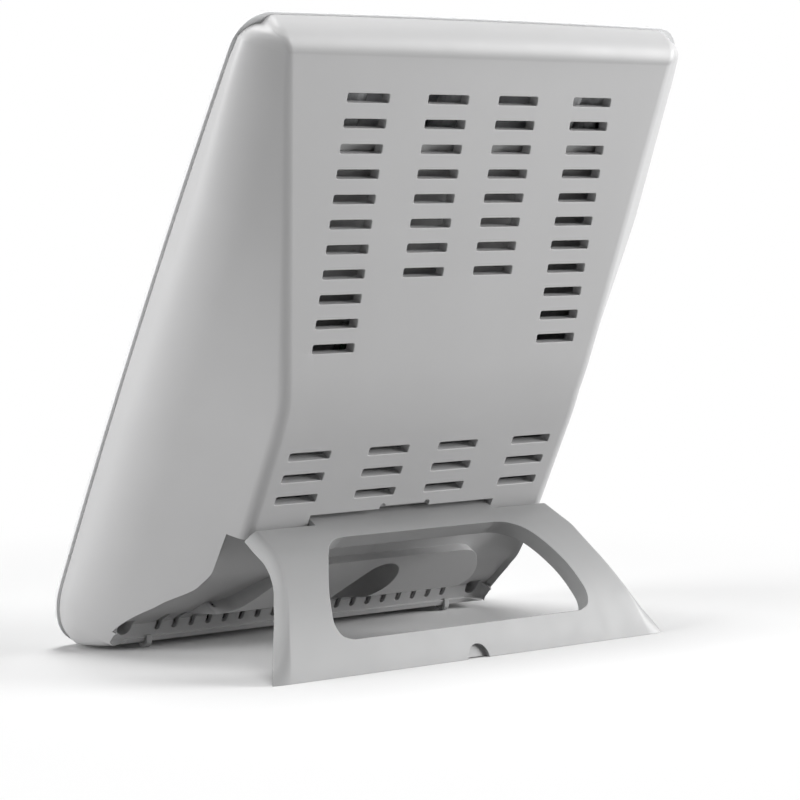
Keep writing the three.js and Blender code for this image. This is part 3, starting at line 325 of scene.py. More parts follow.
def half_section(v, inset, steps=10):
    """Half of the shell's outline at a height: side wall, curve, flank, rounded edge and back."""
    near = (v - inset, v, v + inset)
    depth = min(back_depth(n) for n in near) - inset
    whole = min(back_depth(max(n, STRIP_BOTTOM)) for n in near) - inset
    front = COVER_FRONT - OVERRUN if inset > 0 else COVER_FRONT
    reach = back_depth(max(v, STRIP_BOTTOM)) - COVER_FRONT
    edge = max(GAP, min(SPINE_EDGE, reach / 2) - inset)
    side_x = min(cover_side(n) for n in near) - inset
    grown = between((v - STRIP_TOP) / SIDE_LOW_RISE, 0, 1)
    height = min(SIDE_LOW + (SIDE_HEIGHT - SIDE_LOW) * grown, reach * SIDE_SHARE)
    corner = Vector((side_x, COVER_FRONT + height - inset * 0.5))
    centre_w = whole - edge
    spine_x = min(spine_half(v), side_x - edge - GAP)
    dx = side_x - spine_x
    dw = centre_w - corner.y
    swing = math.asin(between(edge / math.hypot(dx, dw), -1, 1))
    tilt = max(GAP / HEIGHT, math.atan2(dw, dx) + swing)
    flank = Vector((-math.cos(tilt), math.sin(tilt)))
    head = Vector((spine_x + edge * math.sin(tilt), centre_w + edge * math.cos(tilt)))
    start = Vector((side_x, COVER_FRONT + height * SIDE_START))
    end = corner + flank * min(SIDE_SWEEP, SIDE_SWEEP_SHARE * (head - corner).length)
    curve = []
    for i in range(steps * 2 + 1):
        t = i / steps / 2
        curve.append(start * (1 - t) ** 2 + corner * (2 * t * (1 - t)) + end * t ** 2)
    curve += [end.lerp(head, i / steps) for i in range(1, steps)]
    for i in range(steps, -1, -1):
        a = tilt * i / steps
        curve.append(Vector((spine_x + edge * math.sin(a), centre_w + edge * math.cos(a))))
    if v < STRIP_BOTTOM:
        blend = max(TINY, min(UNDER_EDGE, UNDER_SHARE * (depth - front)))
        curve = [Vector((p.x, soft_limit(p.y, depth + end_rise(p.x, v), blend))) for p in curve]
    points = [(side_x, front)] + [tuple(p) for p in curve]
    return points + [(spine_x * share, depth) for share in BACK_SHARES]


def crown_lift(x, v):
    rise = between((v - BACK_TOP) / (HEIGHT - CROWN_DROP - BACK_TOP), 0, 1)
    return CROWN_BOW * rise * max(0.0, 1 - (x / SPINE_FLARE) ** 2)


def stack(name, sections):
    return loft(name, [[(x, w, v + crown_lift(x, v)) for x, w in points] for v, points in sections])


def spread(count, low, high, ends=True):
    return [low + (high - low) * i / count for i in range(count + (1 if ends else 0))]


# Heights of single sections, counts of the others, and where the crown's last one stops
STRIP_LEVEL, CORNER_LEVELS, BACK_START, CROWN_END = 31.0, (40.5, 44.0, 47.5), 52, 0.99
LIP_STEPS, BACK_STEPS, BEND_STEPS, CROWN_STEPS, RECESS_STEPS = 14, 14, 10, 18, 34


def cover_levels(inset):
    quarter = math.pi / 2
    low = [inset + (LIP_BOTTOM - inset) * (1 - math.cos(quarter * i / LIP_STEPS))
           for i in range(LIP_STEPS)]
    strip = [LIP_BOTTOM, STRIP_BOTTOM - SLIVER, STRIP_BOTTOM + inset, STRIP_LEVEL + inset,
             STRIP_TOP + inset + GAP]
    corner = [level + inset for level in CORNER_LEVELS]
    lower = spread(BACK_STEPS, BACK_START + inset, BEND - BEND_REACH, False)
    bend = spread(BEND_STEPS, BEND - BEND_REACH, BEND + BEND_REACH)
    upper = spread(BACK_STEPS, BEND + BEND_REACH, BACK_TOP, False)[1:]
    top = HEIGHT - CROWN_DROP - inset
    crown = [BACK_TOP + (top - BACK_TOP) * math.sin(quarter * i / CROWN_STEPS * CROWN_END)
             for i in range(CROWN_STEPS + 1)]
    return low + strip + corner + lower + bend + upper + crown


def case_body(inset):
    levels = cover_levels(inset)
    return stack("case_body", [(v, mirrored(half_section(v, inset))) for v in levels])


# Recess: rows of [share of its height, share of its depth] for its edge and its floor, and of
# how far the floor is drawn in
RECESS_EDGE_SHARES = [(0, -0.011), (0.145, 0.175), (0.343, 0.49), (0.584, 0.92), (0.715, 1), (1, 1)]
RECESS_FLOOR_SHARES = [(0, -0.018), (0.145, 0.25), (0.343, 0.5), (0.584, 0.83), (0.82, 0.95),
                       (1, 1)]
RECESS_INSET_SHARES = [(0, 0.1), (0.5, 1), (1, 1)]


def recess_section(v, grow):
    t = between((v - STRIP_TOP) / (RECESS_TOP - STRIP_TOP), 0, 1)
    edge_w = STRIP_DEPTH + (RECESS_EDGE - STRIP_DEPTH) * smooth(RECESS_EDGE_SHARES, t)
    floor_w = STRIP_DEPTH + (RECESS_FLOOR - STRIP_DEPTH) * smooth(RECESS_FLOOR_SHARES, t)
    skin = half_section(max(v, STRIP_TOP + GAP), 0)
    edge_x = next((a[0] + (b[0] - a[0]) * (edge_w - a[1]) / (b[1] - a[1])
                   for a, b in zip(skin, skin[1:]) if a[1] <= edge_w <= b[1] and b[1] > a[1]),
                  skin[-1 - len(BACK_SHARES)][0])
    wide = between((RECESS_RIM_FULL - t) / RECESS_RIM_CHANGE, 0, 1)
    edge_x -= RECESS_RIM + (RECESS_RIM_LOW - RECESS_RIM) * wide
    inset = RECESS_INSET * smooth(RECESS_INSET_SHARES, t)
    half = []
    for i in range(9):
        a = math.pi / 2 * i / 8
        half.append((edge_x - inset * (1 - math.sin(a)) + grow,
                     floor_w + (edge_w - floor_w) * (1 - math.cos(a)) - grow))
    half.append((edge_x + grow, BEND_DEPTH + OVERRUN))
    return v, mirrored(half)


def recess(grow):
    rows = spread(RECESS_STEPS, STRIP_TOP, RECESS_TOP - TINY)[1:]
    levels = [STRIP_TOP - grow - GAP * 2] + rows + [RECESS_TOP + grow]
    return stack("recess", [recess_section(v, grow) for v in levels])


# Hollow where the channel's floor meets its ends: [height above the floor, inset]
CHANNEL_HOLLOW = ((0, 3.4), (0.25, 2.0), (0.9, 0.9), (2.0, 0.25), (3.5, 0.0))


def strip_channel(grow):
    """Channel with rounded ends along the foot of the recess."""
    low, high = STRIP_BOTTOM - SLIVER * 3 - grow, STRIP_TOP + STRIP_LIFT + grow
    under, over = STRIP_UNDER + grow, STRIP_OVER + grow
    profile = [(STRIP_DEPTH + rise, inset) for rise, inset in CHANNEL_HOLLOW]
    rings = []
    for w, inset in profile + [(BEND_DEPTH + OVERRUN, 0.0)]:
        end = STRIP_END + grow - inset
        side = (circle(end - under, low + under, under, 9, -math.pi / 2, math.pi / 2)
                + circle(end - over, high - over, over, 13, 0, math.pi / 2))
        rings.append([(x, w - grow, v) for x, v in mirrored(side)])
    return loft("channel", rings)


# Ends of the raised block, one swept and one blunt: [share of half width, share of height]
SWEPT_SHARES = [(0.99, -0.33), (0.955, -0.03), (0.9, 0), (0.816, 0.055), (0.77, 0.13),
                (0.724, 0.26), (0.687, 0.39), (0.651, 0.53), (0.6, 0.69), (0.53, 0.83),
                (0.45, 0.92), (0.35, 0.98), (0.26, 1)]
BLUNT_SHARES = [(0.96, -0.33), (0.994, 0), (1.04, 0.12), (1.05, 0.28), (1.03, 0.5), (0.97, 0.74),
                (0.93, 0.86), (0.87, 0.96), (0.8, 1)]


def curve_through(points, per):
    """A smooth line through points, with per steps from each to the next."""
    out = []
    for i in range(len(points) - 1):
        p0 = points[max(i - 1, 0)]
        p1, p2 = points[i], points[i + 1]
        p3 = points[min(i + 2, len(points) - 1)]
        for k in range(per):
            t = k / per
            out.append(tuple(0.5 * (2 * b + (c - a) * t + (2 * a - 5 * b + 4 * c - d) * t * t
                                    + (3 * b - a - 3 * c + d) * t ** 3)
                             for a, b, c, d in zip(p0, p1, p2, p3)))
    return out + [tuple(points[-1])]


def raised_block(inset, soft=False):
    rise = BLOCK_TOP - BLOCK_BOTTOM

    def end(shares, side):
        return [(side * (x * BLOCK_HALF - inset),
                 BLOCK_BOTTOM + v * rise - (inset if v > 0.99 else 0))
                for x, v in curve_through(shares, 4)]
    outline = end(SWEPT_SHARES, 1) + end(BLUNT_SHARES, -1)[::-1]
    plan = prism("w", outline, RECESS_FLOOR - OVERRUN * 2, BLOCK_HIGH + OVERRUN)
    side = [(BLOCK_ROOT, BLOCK_BOTTOM - UNDERCUT_HEIGHT + inset),
            (BLOCK_LOW - UNDERCUT_DEPTH - inset, BLOCK_BOTTOM - UNDERCUT_HEIGHT + inset),
            (BLOCK_LOW - inset, BLOCK_BOTTOM + inset), (BLOCK_HIGH - inset, BLOCK_TOP - inset),
            (BLOCK_ROOT, BLOCK_TOP - inset)]
    solid = meet(plan, prism("x", side, -HALF_WIDTH, HALF_WIDTH))
    return rounded(solid, BLOCK_EDGE, 5) if soft else solid


def scoop(grow):
    head, mouth = Vector(SCOOP_INLET), Vector(SCOOP_MOUTH)
    turn = math.atan2(mouth.y - head.y, mouth.x - head.x)
    taper = math.asin((SCOOP_RADIUS - SCOOP_MOUTH_RADIUS) / (mouth - head).length)
    outline = (circle(mouth.x, mouth.y, SCOOP_MOUTH_RADIUS + grow, 24, turn - math.pi / 2 + taper,
                      math.pi - taper * 2)
               + circle(head.x, head.y, SCOOP_RADIUS + grow, 36, turn + math.pi / 2 - taper,
                        math.pi + taper * 2))
    return prism("w", outline, BLOCK_LOW - SCOOP_DEPTH + WALL - grow, BLOCK_HIGH + OVERRUN)


def hinge_pocket(grow):
    half = NOTCH_HALF + grow
    radius = BARREL + BARREL_CLEAR + grow
    hollow = rod("x", radius, -half, half, HINGE_W, HINGE_V)
    back = HINGE_EDGE_DEPTH + OVERRUN
    top = HINGE_V + radius + NOTCH_RISE
    join(hollow, box(-half, half, HINGE_W, back, RECESS_TOP - WALL, top))
    if grow:
        return join(hollow, box(-TONGUE_HALF - grow, TONGUE_HALF + grow, HINGE_W, back, RECESS_TOP,
                                top + TONGUE_RISE))
    join(hollow, box(-TONGUE_HALF, TONGUE_HALF, HINGE_W, back, RECESS_TOP, top + TONGUE_RISE))
    for side in (-1, 1):
        join(hollow, rod("w", TONGUE_LUG, HINGE_W, back, side * TONGUE_HALF,
                         top + TONGUE_RISE - TONGUE_LUG_DROP, 24))
    return hollow


def rounded_slot(half_length, half_height, radius, count=6):
    points = []
    for sx, sy, start in ((1, -1, -90), (1, 1, 0), (-1, 1, 90), (-1, -1, 180)):
        for i in range(count + 1):
            a = math.radians(start + 90 * i / count)
            points.append((sx * (half_length - radius) + radius * math.cos(a),
                           sy * (half_height - radius) + radius * math.sin(a)))
    return points


# A slot's opening and its sleeve: [height above the back, growth]
SLOT_FLARE = ((-15.0, 0.0), (-0.6, 0.0), (-0.3, 0.07), (-0.1, 0.2), (0.0, 0.36), (0.5, 0.9),
              (6.0, 0.9))
SLOT_SLEEVE = ((-7.8, 2.0), (-0.4, 2.0))


def back_slot(column, v, profile):
    """Rings square to the back: at each height above it, the slot grown by a flare."""
    drop = back_depth(v - SLOT_HEIGHT) - back_depth(v + SLOT_HEIGHT)
    turn = math.atan2(drop, SLOT_HEIGHT * 2)
    along, out = (-math.sin(turn), math.cos(turn)), (math.cos(turn), math.sin(turn))
    rings = []
    for height, flare in profile:
        outline = rounded_slot(SLOT_LENGTH / 2 + flare, SLOT_HEIGHT / 2 + flare,
                               SLOT_CORNER + flare)
        rings.append([(column + a, back_depth(v) + along[0] * b + out[0] * height,
                       v + along[1] * b + out[1] * height) for a, b in outline])
    return rings


def back_slots(profile):
    drop = SLOT_PITCH * math.cos(math.atan2(BEND_DEPTH - BACK_TOP_DEPTH, BACK_TOP - BEND))
    places = []
    for side in (-1, 1):
        places += [(side * OUTER_COLUMN, UPPER_SLOT - row * drop) for row in range(OUTER_ROWS)]
        places += [(side * INNER_COLUMN, UPPER_SLOT - row * drop) for row in range(INNER_ROWS)]
        for column in (OUTER_COLUMN, INNER_COLUMN):
            places += [(side * column, LOWER_SLOT - row * SLOT_PITCH)
                       for row in range(LOWER_ROWS)]
    return ring_solids("slots", [back_slot(column, v, profile) for column, v in places])


def bottom_vents():
    sets = []
    half = VENT_WIDTH / 2
    for i in range(VENT_COUNT):
        x = (i - (VENT_COUNT - 1) / 2) * VENT_PITCH
        outline = (circle(x, VENT_LOW + half, half, 10, math.pi, math.pi)
                   + circle(x, VENT_HIGH - half, half, 10, 0, math.pi))
        sets.append([[(a, w, b) for a, b in outline] for w in (BLOCK_ROOT, STRIP_DEPTH + OVERRUN)])
    return ring_solids("vents", sets)


def screw_well(side):
    x = side * SCREW_X
    well = rod("w", WELL, WELL_FLOOR, WELL_FLOOR + OVERRUN, x, SCREW_V)
    return join(well, box(x - WELL, x + WELL, WELL_FLOOR, WELL_FLOOR + OVERRUN, SCREW_V,
                          SCREW_V + WELL_RISE))


def rear_cover():
    def knuckle(side):
        ends = sorted((side * NOTCH_HALF, side * (NOTCH_HALF + KNUCKLE_LENGTH)))
        return rod("x", KNUCKLE, ends[0], ends[1], HINGE_W, HINGE_V)

    def pin_hole(side):
        start = BARREL_HALF - PIN_LENGTH / 2
        ends = sorted((side * start, side * (start + PIN_LENGTH + WALL)))
        return rod("x", PIN + GAP, ends[0], ends[1], HINGE_W, HINGE_V, 24)

    def post(side):
        return rod("w", POST, COVER_FRONT, STRIP_DEPTH + WALL, side * SCREW_X, SCREW_V)

    kept = cut(recess(WALL), raised_block(WALL))
    join(kept, strip_channel(WALL))
    join(kept, scoop(WALL))
    join(kept, hinge_pocket(WALL))
    join(kept, both_sides(knuckle))
    join(kept, both_sides(post))
    hollow = cut(case_body(WALL), kept)
    opened = cut(recess(0), raised_block(0, True))
    join(opened, strip_channel(0))
    join(opened, scoop(0))
    join(opened, hinge_pocket(0))
    shell = case_body(0)
    cut(shell, hollow)
    cut(shell, opened)
    join(shell, both_sides(knuckle))
    join(shell, back_slots(SLOT_SLEEVE))
    cut(shell, back_slots(SLOT_FLARE))
    cut(shell, bottom_vents())
    cut(shell, both_sides(pin_hole))
    cut(shell, both_sides(screw_well))
    shell.name = "rear_shell"
    return shell


# Front frame
def frame_outline(inset, steps=16):
    """Outline of the frame from the front, drawn in by an inset."""
    half = []
    for i in range(steps + 1):
        a = math.pi / 2 * i / steps
        v = CORNER_RISE * (1 - math.cos(a))
        half.append((half_width(v) - CORNER_REACH * (1 - math.sin(a)) - inset, max(v, inset)))
    for i in range(1, steps):
        v = CORNER_RISE + (HEIGHT - CORNER_RISE - TOP_CORNER) * i / steps
        half.append((half_width(v) - inset, v))
    for i in range(steps + 1):
        a = math.pi / 2 * i / steps
        v = HEIGHT - TOP_CORNER * (1 - math.sin(a))
        half.append((half_width(v) - TOP_CORNER * (1 - math.cos(a)) - inset,
                     min(v, HEIGHT - inset)))
    for share in BACK_SHARES:
        x = SPINE_FLARE * share
        half.append((x, HEIGHT - inset + crown_lift(x, HEIGHT)))
    return mirrored(half)


def window_outline(grow):
    half, low, high, radius = WINDOW
    points = rounded_slot(half + grow, (high - low) / 2 + grow, radius + grow, 8)
    return [(x, y + (low + high) / 2) for x, y in points]


# Edge of the frame, [depth, inset], and edge of its window, [depth, growth]
FRAME_EDGE = ((0.0, 1.6), (0.12, 1.05), (0.45, 0.5), (0.95, 0.13), (1.6, 0.0), (3.1, 0.0),
              (3.38, 0.1), (3.5, 0.35))
FRAME_CUT = 9.0
WINDOW_EDGE = ((-5.0, 6.5), (-0.05, 1.55), (0.0, 1.2), (0.25, 0.6), (0.7, 0.18), (1.2, 0.0),
               (FRAME_CUT, 0.0))


def front_bezel():
    body = loft("bezel", [[(x, w, v) for x, v in frame_outline(inset)] for w, inset in FRAME_EDGE])
    window = [[(x, w, v) for x, v in window_outline(grow)] for w, grow in WINDOW_EDGE]
    cut(body, loft("window", window, fan=True))
    cut(body, rod("w", BUTTON_RADIUS + BUTTON_CLEAR, -FRAME_CUT, FRAME_CUT, BUTTON_X, BUTTON_V))
    body.name = "bezel"
    return body


# Stand, in the hinge's frame: x along the hinge, y backwards, z up
def bezier(p, t):
    u = 1 - t
    return (p[0] * u ** 3 + p[1] * (3 * u * u * t) + p[2] * (3 * u * t * t) + p[3] * t ** 3)


# Steps along the stand's straight part, its curve and its sheets, and where its line starts
# and a sheet ends, as shares of its length
STRAIGHT_STEPS, CURVE_STEPS, SHEET_STEPS = 30, 120, 40
PATH_START, SHEET_END = 0.001, 1.08


def stand_path():
    out = Vector((math.cos(LEAN), -math.sin(LEAN)))
    start = Vector((math.sin(LEAN), math.cos(LEAN))) * BARREL
    bend = start + out * STAND_STRAIGHT
    foot = Vector((FOOT_DROP, -FOOT_DROP))
    down = math.radians(FOOT_DEGREES)
    heel = foot + Vector((-math.cos(down), math.sin(down))) * FOOT_BEND
    control = (bend, bend + out * STAND_BEND, heel, foot)
    line = [start + (bend - start) * i / STRAIGHT_STEPS for i in range(STRAIGHT_STEPS)]
    line += [bezier(control, i / CURVE_STEPS) for i in range(CURVE_STEPS + 1)]
    lengths = [0.0]
    for a, b in zip(line, line[1:]):
        lengths.append(lengths[-1] + (b - a).length)
    return line, lengths


PATH, PATH_LENGTHS = stand_path()


def stand_profile(share):
    """Point and normal of the stand's outer face at a share of its length."""
    total = PATH_LENGTHS[-1]
    at = between(share, PATH_START, 1) * total
    i = max(k for k in range(len(PATH) - 1) if PATH_LENGTHS[k] <= at)
    t = (at - PATH_LENGTHS[i]) / (PATH_LENGTHS[i + 1] - PATH_LENGTHS[i])
    point = PATH[i].lerp(PATH[i + 1], min(t, 1))
    a, b = PATH[max(i - 1, 0)], PATH[min(i + 2, len(PATH) - 1)]
    along = (b - a).normalized()
    if share > 1:
        point = point + along * (share - 1) * total
    return point, Vector((-along.y, along.x))


# Rows of [share of the stand's length, share of its half width or of the flange's depth]
CREASE_SHARES = [(0, 0.726), (0.13, 0.736), (0.28, 0.749), (0.36, 0.757), (0.55, 0.806),
                 (0.76, 0.867), (1, 0.914)]
FLANGE_SHARES = [(0, 0.777), (0.13, 0.786), (0.28, 0.794), (0.36, 0.801), (0.47, 0.82),
                 (0.55, 0.847), (0.68, 0.888), (0.76, 0.916), (0.9, 0.967), (1, 1)]
FLANGE_DEPTH_SHARES = [(0, 0.8), (0.2, 0.92), (0.45, 0.84), (0.7, 0.86), (0.85, 0.62),
                       (0.93, 0.36), (1, 0.13)]


def stand_sheet(name, section_at):
    rings = []
    for share in spread(SHEET_STEPS, 0, 1) + [SHEET_END]:
        point, normal = stand_profile(share)
        rings.append([(x, point.x + normal.x * d, point.y + normal.y * d)
                      for x, d in section_at(share)])
    return loft(name, rings)


def stand_shell_section(share):
    crease = smooth(CREASE_SHARES, share) * STAND_HALF
    edge = smooth(FLANGE_SHARES, share) * STAND_HALF
    depth = smooth(FLANGE_DEPTH_SHARES, share) * FLANGE

    def skin(x0, x1, d0, d1):
        mid = (x0 + x1) / 2
        row = [i / 10 for i in range(11)]
        return [(x0 * (1 - t) ** 2 + 2 * mid * t * (1 - t) + x1 * t * t,
                 -(d0 * (1 - t) ** 2 + 2 * d0 * t * (1 - t) + d1 * t * t)) for t in row]
    outer = skin(crease, edge, 0, depth)
    inner = skin(crease - STAND_WALL / 2, edge - STAND_WALL, STAND_WALL, max(depth, STAND_WALL))
    half = outer[::-1] + [(crease * s, 0) for s in (0.75, 0.5, 0.25)]
    under = [(crease * s, -STAND_WALL) for s in (0.25, 0.5, 0.75)] + inner
    return mirrored(half) + [(-x, d) for x, d in reversed(under)] + under


def stand_rim_section(share):
    half = smooth(CREASE_SHARES, share) * STAND_HALF - STAND_WALL
    return mirrored([(half, -STAND_RIM), (half, -STAND_WALL / 2)])


# Plate behind the notch in the foot: thickness, and half width and top as shares of the radius
NOTCH_PLATE, NOTCH_PLATE_HALF, NOTCH_PLATE_TOP = 1.2, 1.3, 1.4


def notch_back_section(_share):
    half = NOTCH_RADIUS * NOTCH_PLATE_HALF
    return mirrored([(half, -(STAND_WALL + NOTCH_PLATE)), (half, -(STAND_WALL - GAP))])


# Side of the handle opening: [share of its half width, share of its height]
OPEN_SHARES = [(0.6, 0), (0.7, 0.035), (0.8, 0.17), (0.93, 0.5), (0.99, 0.75), (1, 0.87),
               (0.97, 0.96), (0.9, 1)]


def opening(grow):
    side = curve_through([(x * OPEN_HALF, OPEN_START + s * OPEN_HEIGHT) for x, s in OPEN_SHARES], 8)
    middle = OPEN_START + OPEN_HEIGHT / 2
    outline = mirrored([(x + grow, y + grow * (y - middle) * 2 / OPEN_HEIGHT) for x, y in side])
    along = Vector((math.cos(CHORD), -math.sin(CHORD)))
    out = Vector((math.sin(CHORD), math.cos(CHORD)))
    return loft("opening", [[(x, along.x * y + out.x * h, along.y * y + out.y * h)
                             for x, y in outline] for h in (-OVERRUN, OVERRUN * 2)])


def stand_skin():
    def trim(side):
        ends = sorted((side * BARREL_HALF, side * STAND_HALF))
        tool = box(ends[0], ends[1], -OVERRUN, STAND_TRIM, -OVERRUN, OVERRUN)
        tool.data.transform(Matrix.Rotation(-LEAN, 4, "X"))
        return tool
    rim = stand_sheet("rim", stand_rim_section)
    bar = meet(stand_sheet("bar", stand_rim_section),
               box(-STAND_HALF, STAND_HALF, 0, FOOT_DROP * 2, -FOOT_DROP, -FOOT_DROP + FOOT_BAR))
    meet(rim, opening(STAND_WALL))
    body = stand_sheet("stand_skin", stand_shell_section)
    join(body, rim)
    join(body, bar)
    cut(body, both_sides(trim))
    join(body, rod("x", BARREL, -BARREL_HALF, BARREL_HALF, 0, 0, 64))
    cut(body, opening(0))
    cut(body, box(-STAND_HALF * 2, STAND_HALF * 2, -OVERRUN, FOOT_DROP * 2,
                  -FOOT_DROP - OVERRUN, -FOOT_DROP))
    cut(body, rod("w", NOTCH_RADIUS, FOOT_DROP - OVERRUN, FOOT_DROP + OVERRUN, 0, -FOOT_DROP))
    join(body, meet(stand_sheet("back", notch_back_section),
                    box(-NOTCH_RADIUS * 2, NOTCH_RADIUS * 2, 0, FOOT_DROP * 2,
                        -FOOT_DROP + GAP * 2, -FOOT_DROP + NOTCH_RADIUS * NOTCH_PLATE_TOP)))

    def bore(side):
        start = BARREL_HALF - PIN_LENGTH / 2
        ends = sorted((side * start, side * (start + PIN_LENGTH)))
        return rod("x", PIN + GAP, ends[0], ends[1], 0, 0, 24)
    cut(body, both_sides(bore))
    body.name = "stand_skin"
    return body


# Button, from the middle of its dished face round its edge to its flange: [radius, depth]
BUTTON_PROFILE = ((1.0, -1.02), (3.5, -1.08), (5.6, -1.2), (6.8, -1.36), (7.2, -1.4), (7.6, -1.32),
                  (7.88, -1.1), (8.0, -0.75), (8.0, 3.7), (10.0, 3.7), (10.0, 5.3), (3, 5.3))


def button_cap():
    return loft("button_cap", [[(BUTTON_X + a, w, BUTTON_V + b) for a, b in circle(0, 0, r, 64)]
                               for r, w in BUTTON_PROFILE], fan=True)


def foot_fin(node):
    low, high = [corner * PER_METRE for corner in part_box(node)]
    heel = [(high.y - FIN_HEEL + FIN_HEEL * math.cos(a), low.z + FIN_HEEL - FIN_HEEL * math.sin(a))
            for a in (math.pi / 2 * i / 8 for i in range(9))]
    toe = [(high.y - FIN_HEEL - (high.y - FIN_HEEL - low.y) * t,
            low.z + (high.z - low.z) * t ** FIN_TOE) for t in (i / 12 for i in range(1, 13))]
    fin = prism("x", [(high.y, high.z)] + heel + toe, low.x, high.x, "fin_" + node)
    return rounded(fin, FIN_EDGE, 4)


# Materials: scales of the noise, how far tint and roughness wander, and depth of the grain
TINT_SCALE, TINT_SHIFT, ROUGH_SCALE, ROUGH_SHIFT = 14.0, 0.02, 60.0, 0.03
NOISE_LOW, NOISE_HIGH, GRAIN_DEPTH, EDGE_SAMPLES = 0.3, 0.7, 0.0002, 6


def plastic(name, colour, rough, grain=0.06, edge=0, spec=0.5, grain_scale=900.0):
    """Moulded finish: faint tint and roughness noise, fine grain, and edges softened in metres."""
    material = bpy.data.materials.new(name)
    material.use_nodes = True
    nodes, links = material.node_tree.nodes, material.node_tree.links
    shader = nodes["Principled BSDF"]
    shader.inputs["Specular IOR Level"].default_value = spec
    place = nodes.new("ShaderNodeTexCoord")

    def noise(scale, detail):
        node = nodes.new("ShaderNodeTexNoise")
        node.inputs["Scale"].default_value = scale
        node.inputs["Detail"].default_value = detail
        links.new(place.outputs["Object"], node.inputs["Vector"])
        return node.outputs["Fac"]

    def ramp(source, low, high):
        node = nodes.new("ShaderNodeMapRange")
        node.inputs["From Min"].default_value = NOISE_LOW
        node.inputs["From Max"].default_value = NOISE_HIGH
        node.inputs["To Min"].default_value = low
        node.inputs["To Max"].default_value = high
        links.new(source, node.inputs["Value"])
        return node.outputs["Result"]
    tint = nodes.new("ShaderNodeMix")
    tint.data_type = "RGBA"
    tint.inputs["A"].default_value = (*[c * (1 - TINT_SHIFT) for c in colour], 1)
    tint.inputs["B"].default_value = (*[min(1, c * (1 + TINT_SHIFT)) for c in colour], 1)
    links.new(ramp(noise(TINT_SCALE, 3.0), 0, 1), tint.inputs["Factor"])
    links.new(tint.outputs["Result"], shader.inputs["Base Color"])
    links.new(ramp(noise(ROUGH_SCALE, 4.0), rough - ROUGH_SHIFT, rough + ROUGH_SHIFT),
              shader.inputs["Roughness"])
    bump = nodes.new("ShaderNodeBump")
    bump.inputs["Strength"].default_value = grain
    bump.inputs["Distance"].default_value = GRAIN_DEPTH
    links.new(noise(grain_scale, 2.0), bump.inputs["Height"])
    if edge:
        bevel = nodes.new("ShaderNodeBevel")
        bevel.samples = EDGE_SAMPLES
        bevel.inputs["Radius"].default_value = edge
        links.new(bevel.outputs["Normal"], bump.inputs["Normal"])
    links.new(bump.outputs["Normal"], shader.inputs["Normal"])
    return material


LOOKS = {
    "shell_grey": plastic("shell_grey", (0.55, 0.549, 0.552), 0.48, edge=0.0004, spec=0.8),
    # The stand's grey is the shell's grey darkened: painted shade for the shade the stand gets
    # under the leaning case.
    "stand_grey": plastic("stand_grey", (0.35, 0.351, 0.353), 0.48, edge=0.0005, spec=0.8),
    "frame_white": plastic("frame_white", (0.86, 0.865, 0.87), 0.35, edge=0.0003),
    "diffuser": plastic("diffuser", (0.87, 0.88, 0.9), 0.3, grain=0.1, edge=0.0003,
                        grain_scale=500.0),
    "reflector_white": plastic("reflector_white", (0.8, 0.8, 0.8), 0.4),
    "tube_glass": plastic("tube_glass", (0.88, 0.89, 0.9), 0.15, grain=0.01),
    "base_plastic": plastic("base_plastic", (0.75, 0.75, 0.72), 0.5),
    "board_green": plastic("board_green", (0.05, 0.14, 0.07), 0.5),
    "dark_plastic": plastic("dark_plastic", (0.02, 0.021, 0.022), 0.45, edge=0.0002),
    "foot_rubber": plastic("foot_rubber", (0.42, 0.42, 0.42), 0.55, edge=0.0002),
    "washer_nylon": plastic("washer_nylon", (0.1, 0.1, 0.1), 0.55),
    "steel": plastic("steel", (0.55, 0.56, 0.57), 0.32, edge=0.0001),
    "brass": plastic("brass", (0.7, 0.5, 0.2), 0.3),
}
for metal in ("steel", "brass"):
    LOOKS[metal].node_tree.nodes["Principled BSDF"].inputs["Metallic"].default_value = 1.0

NODE_LOOKS = {
    "diffuser_panel": "diffuser", "reflector": "reflector_white", "ballast_chassis": "steel",
    "ballast_board": "board_green", "ballast_choke": "dark_plastic",
    "ballast_capacitor": "dark_plastic", "terminal_block": "base_plastic",
    "power_inlet": "dark_plastic", "switch_body": "dark_plastic",
}
WORD_LOOKS = (("_glass", "tube_glass"), ("_base", "base_plastic"), ("_socket", "base_plastic"),
              ("_clip", "steel"), ("case_screw", "steel"), ("hinge_pin", "steel"),
              ("inlet_pin", "brass"), ("hinge_washer", "washer_nylon"), ("foot_", "foot_rubber"))
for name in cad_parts:
    for word, look in WORD_LOOKS:
        if word in name:
            NODE_LOOKS.setdefault(name, look)
for name, look in NODE_LOOKS.items():
    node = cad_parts[name]
    node.data.materials.clear()
    node.data.materials.append(LOOKS[look])


def finish_piece(obj, look, body, replaced, matrix):
    obj.data.transform(matrix)
    obj.data.materials.clear()
    obj.data.materials.append(LOOKS[look])
    obj.data.polygons.foreach_set("use_smooth", [True] * len(obj.data.polygons))
    obj.data.set_sharp_from_angle(angle=math.radians(SHARP_DEGREES))
    weighted = obj.modifiers.new("normals", "WEIGHTED_NORMAL")
    weighted.keep_sharp = True
    weighted.weight = 100
    apply_modifiers(obj)
    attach(obj, body)
    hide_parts(*replaced)
    return obj


# Floor, light and camera. In metres, save the floor's two tones: one for the light that bounces
# off it, one for what is seen. From FADE_START on it fades into the white background.
FLOOR_HALF, FLOOR_BOUNCE, FLOOR_TONE = 6.0, 0.35, 0.89
FADE_START, FADE_END = 0.3, 0.75
WHITE = (1, 1, 1, 1)


def math_node(tree, operation, *values):
    node = tree.nodes.new("ShaderNodeMath")
    node.operation = operation
    for socket, value in zip(node.inputs, values):
        tree.links.new(value, socket)
    return node.outputs["Value"]


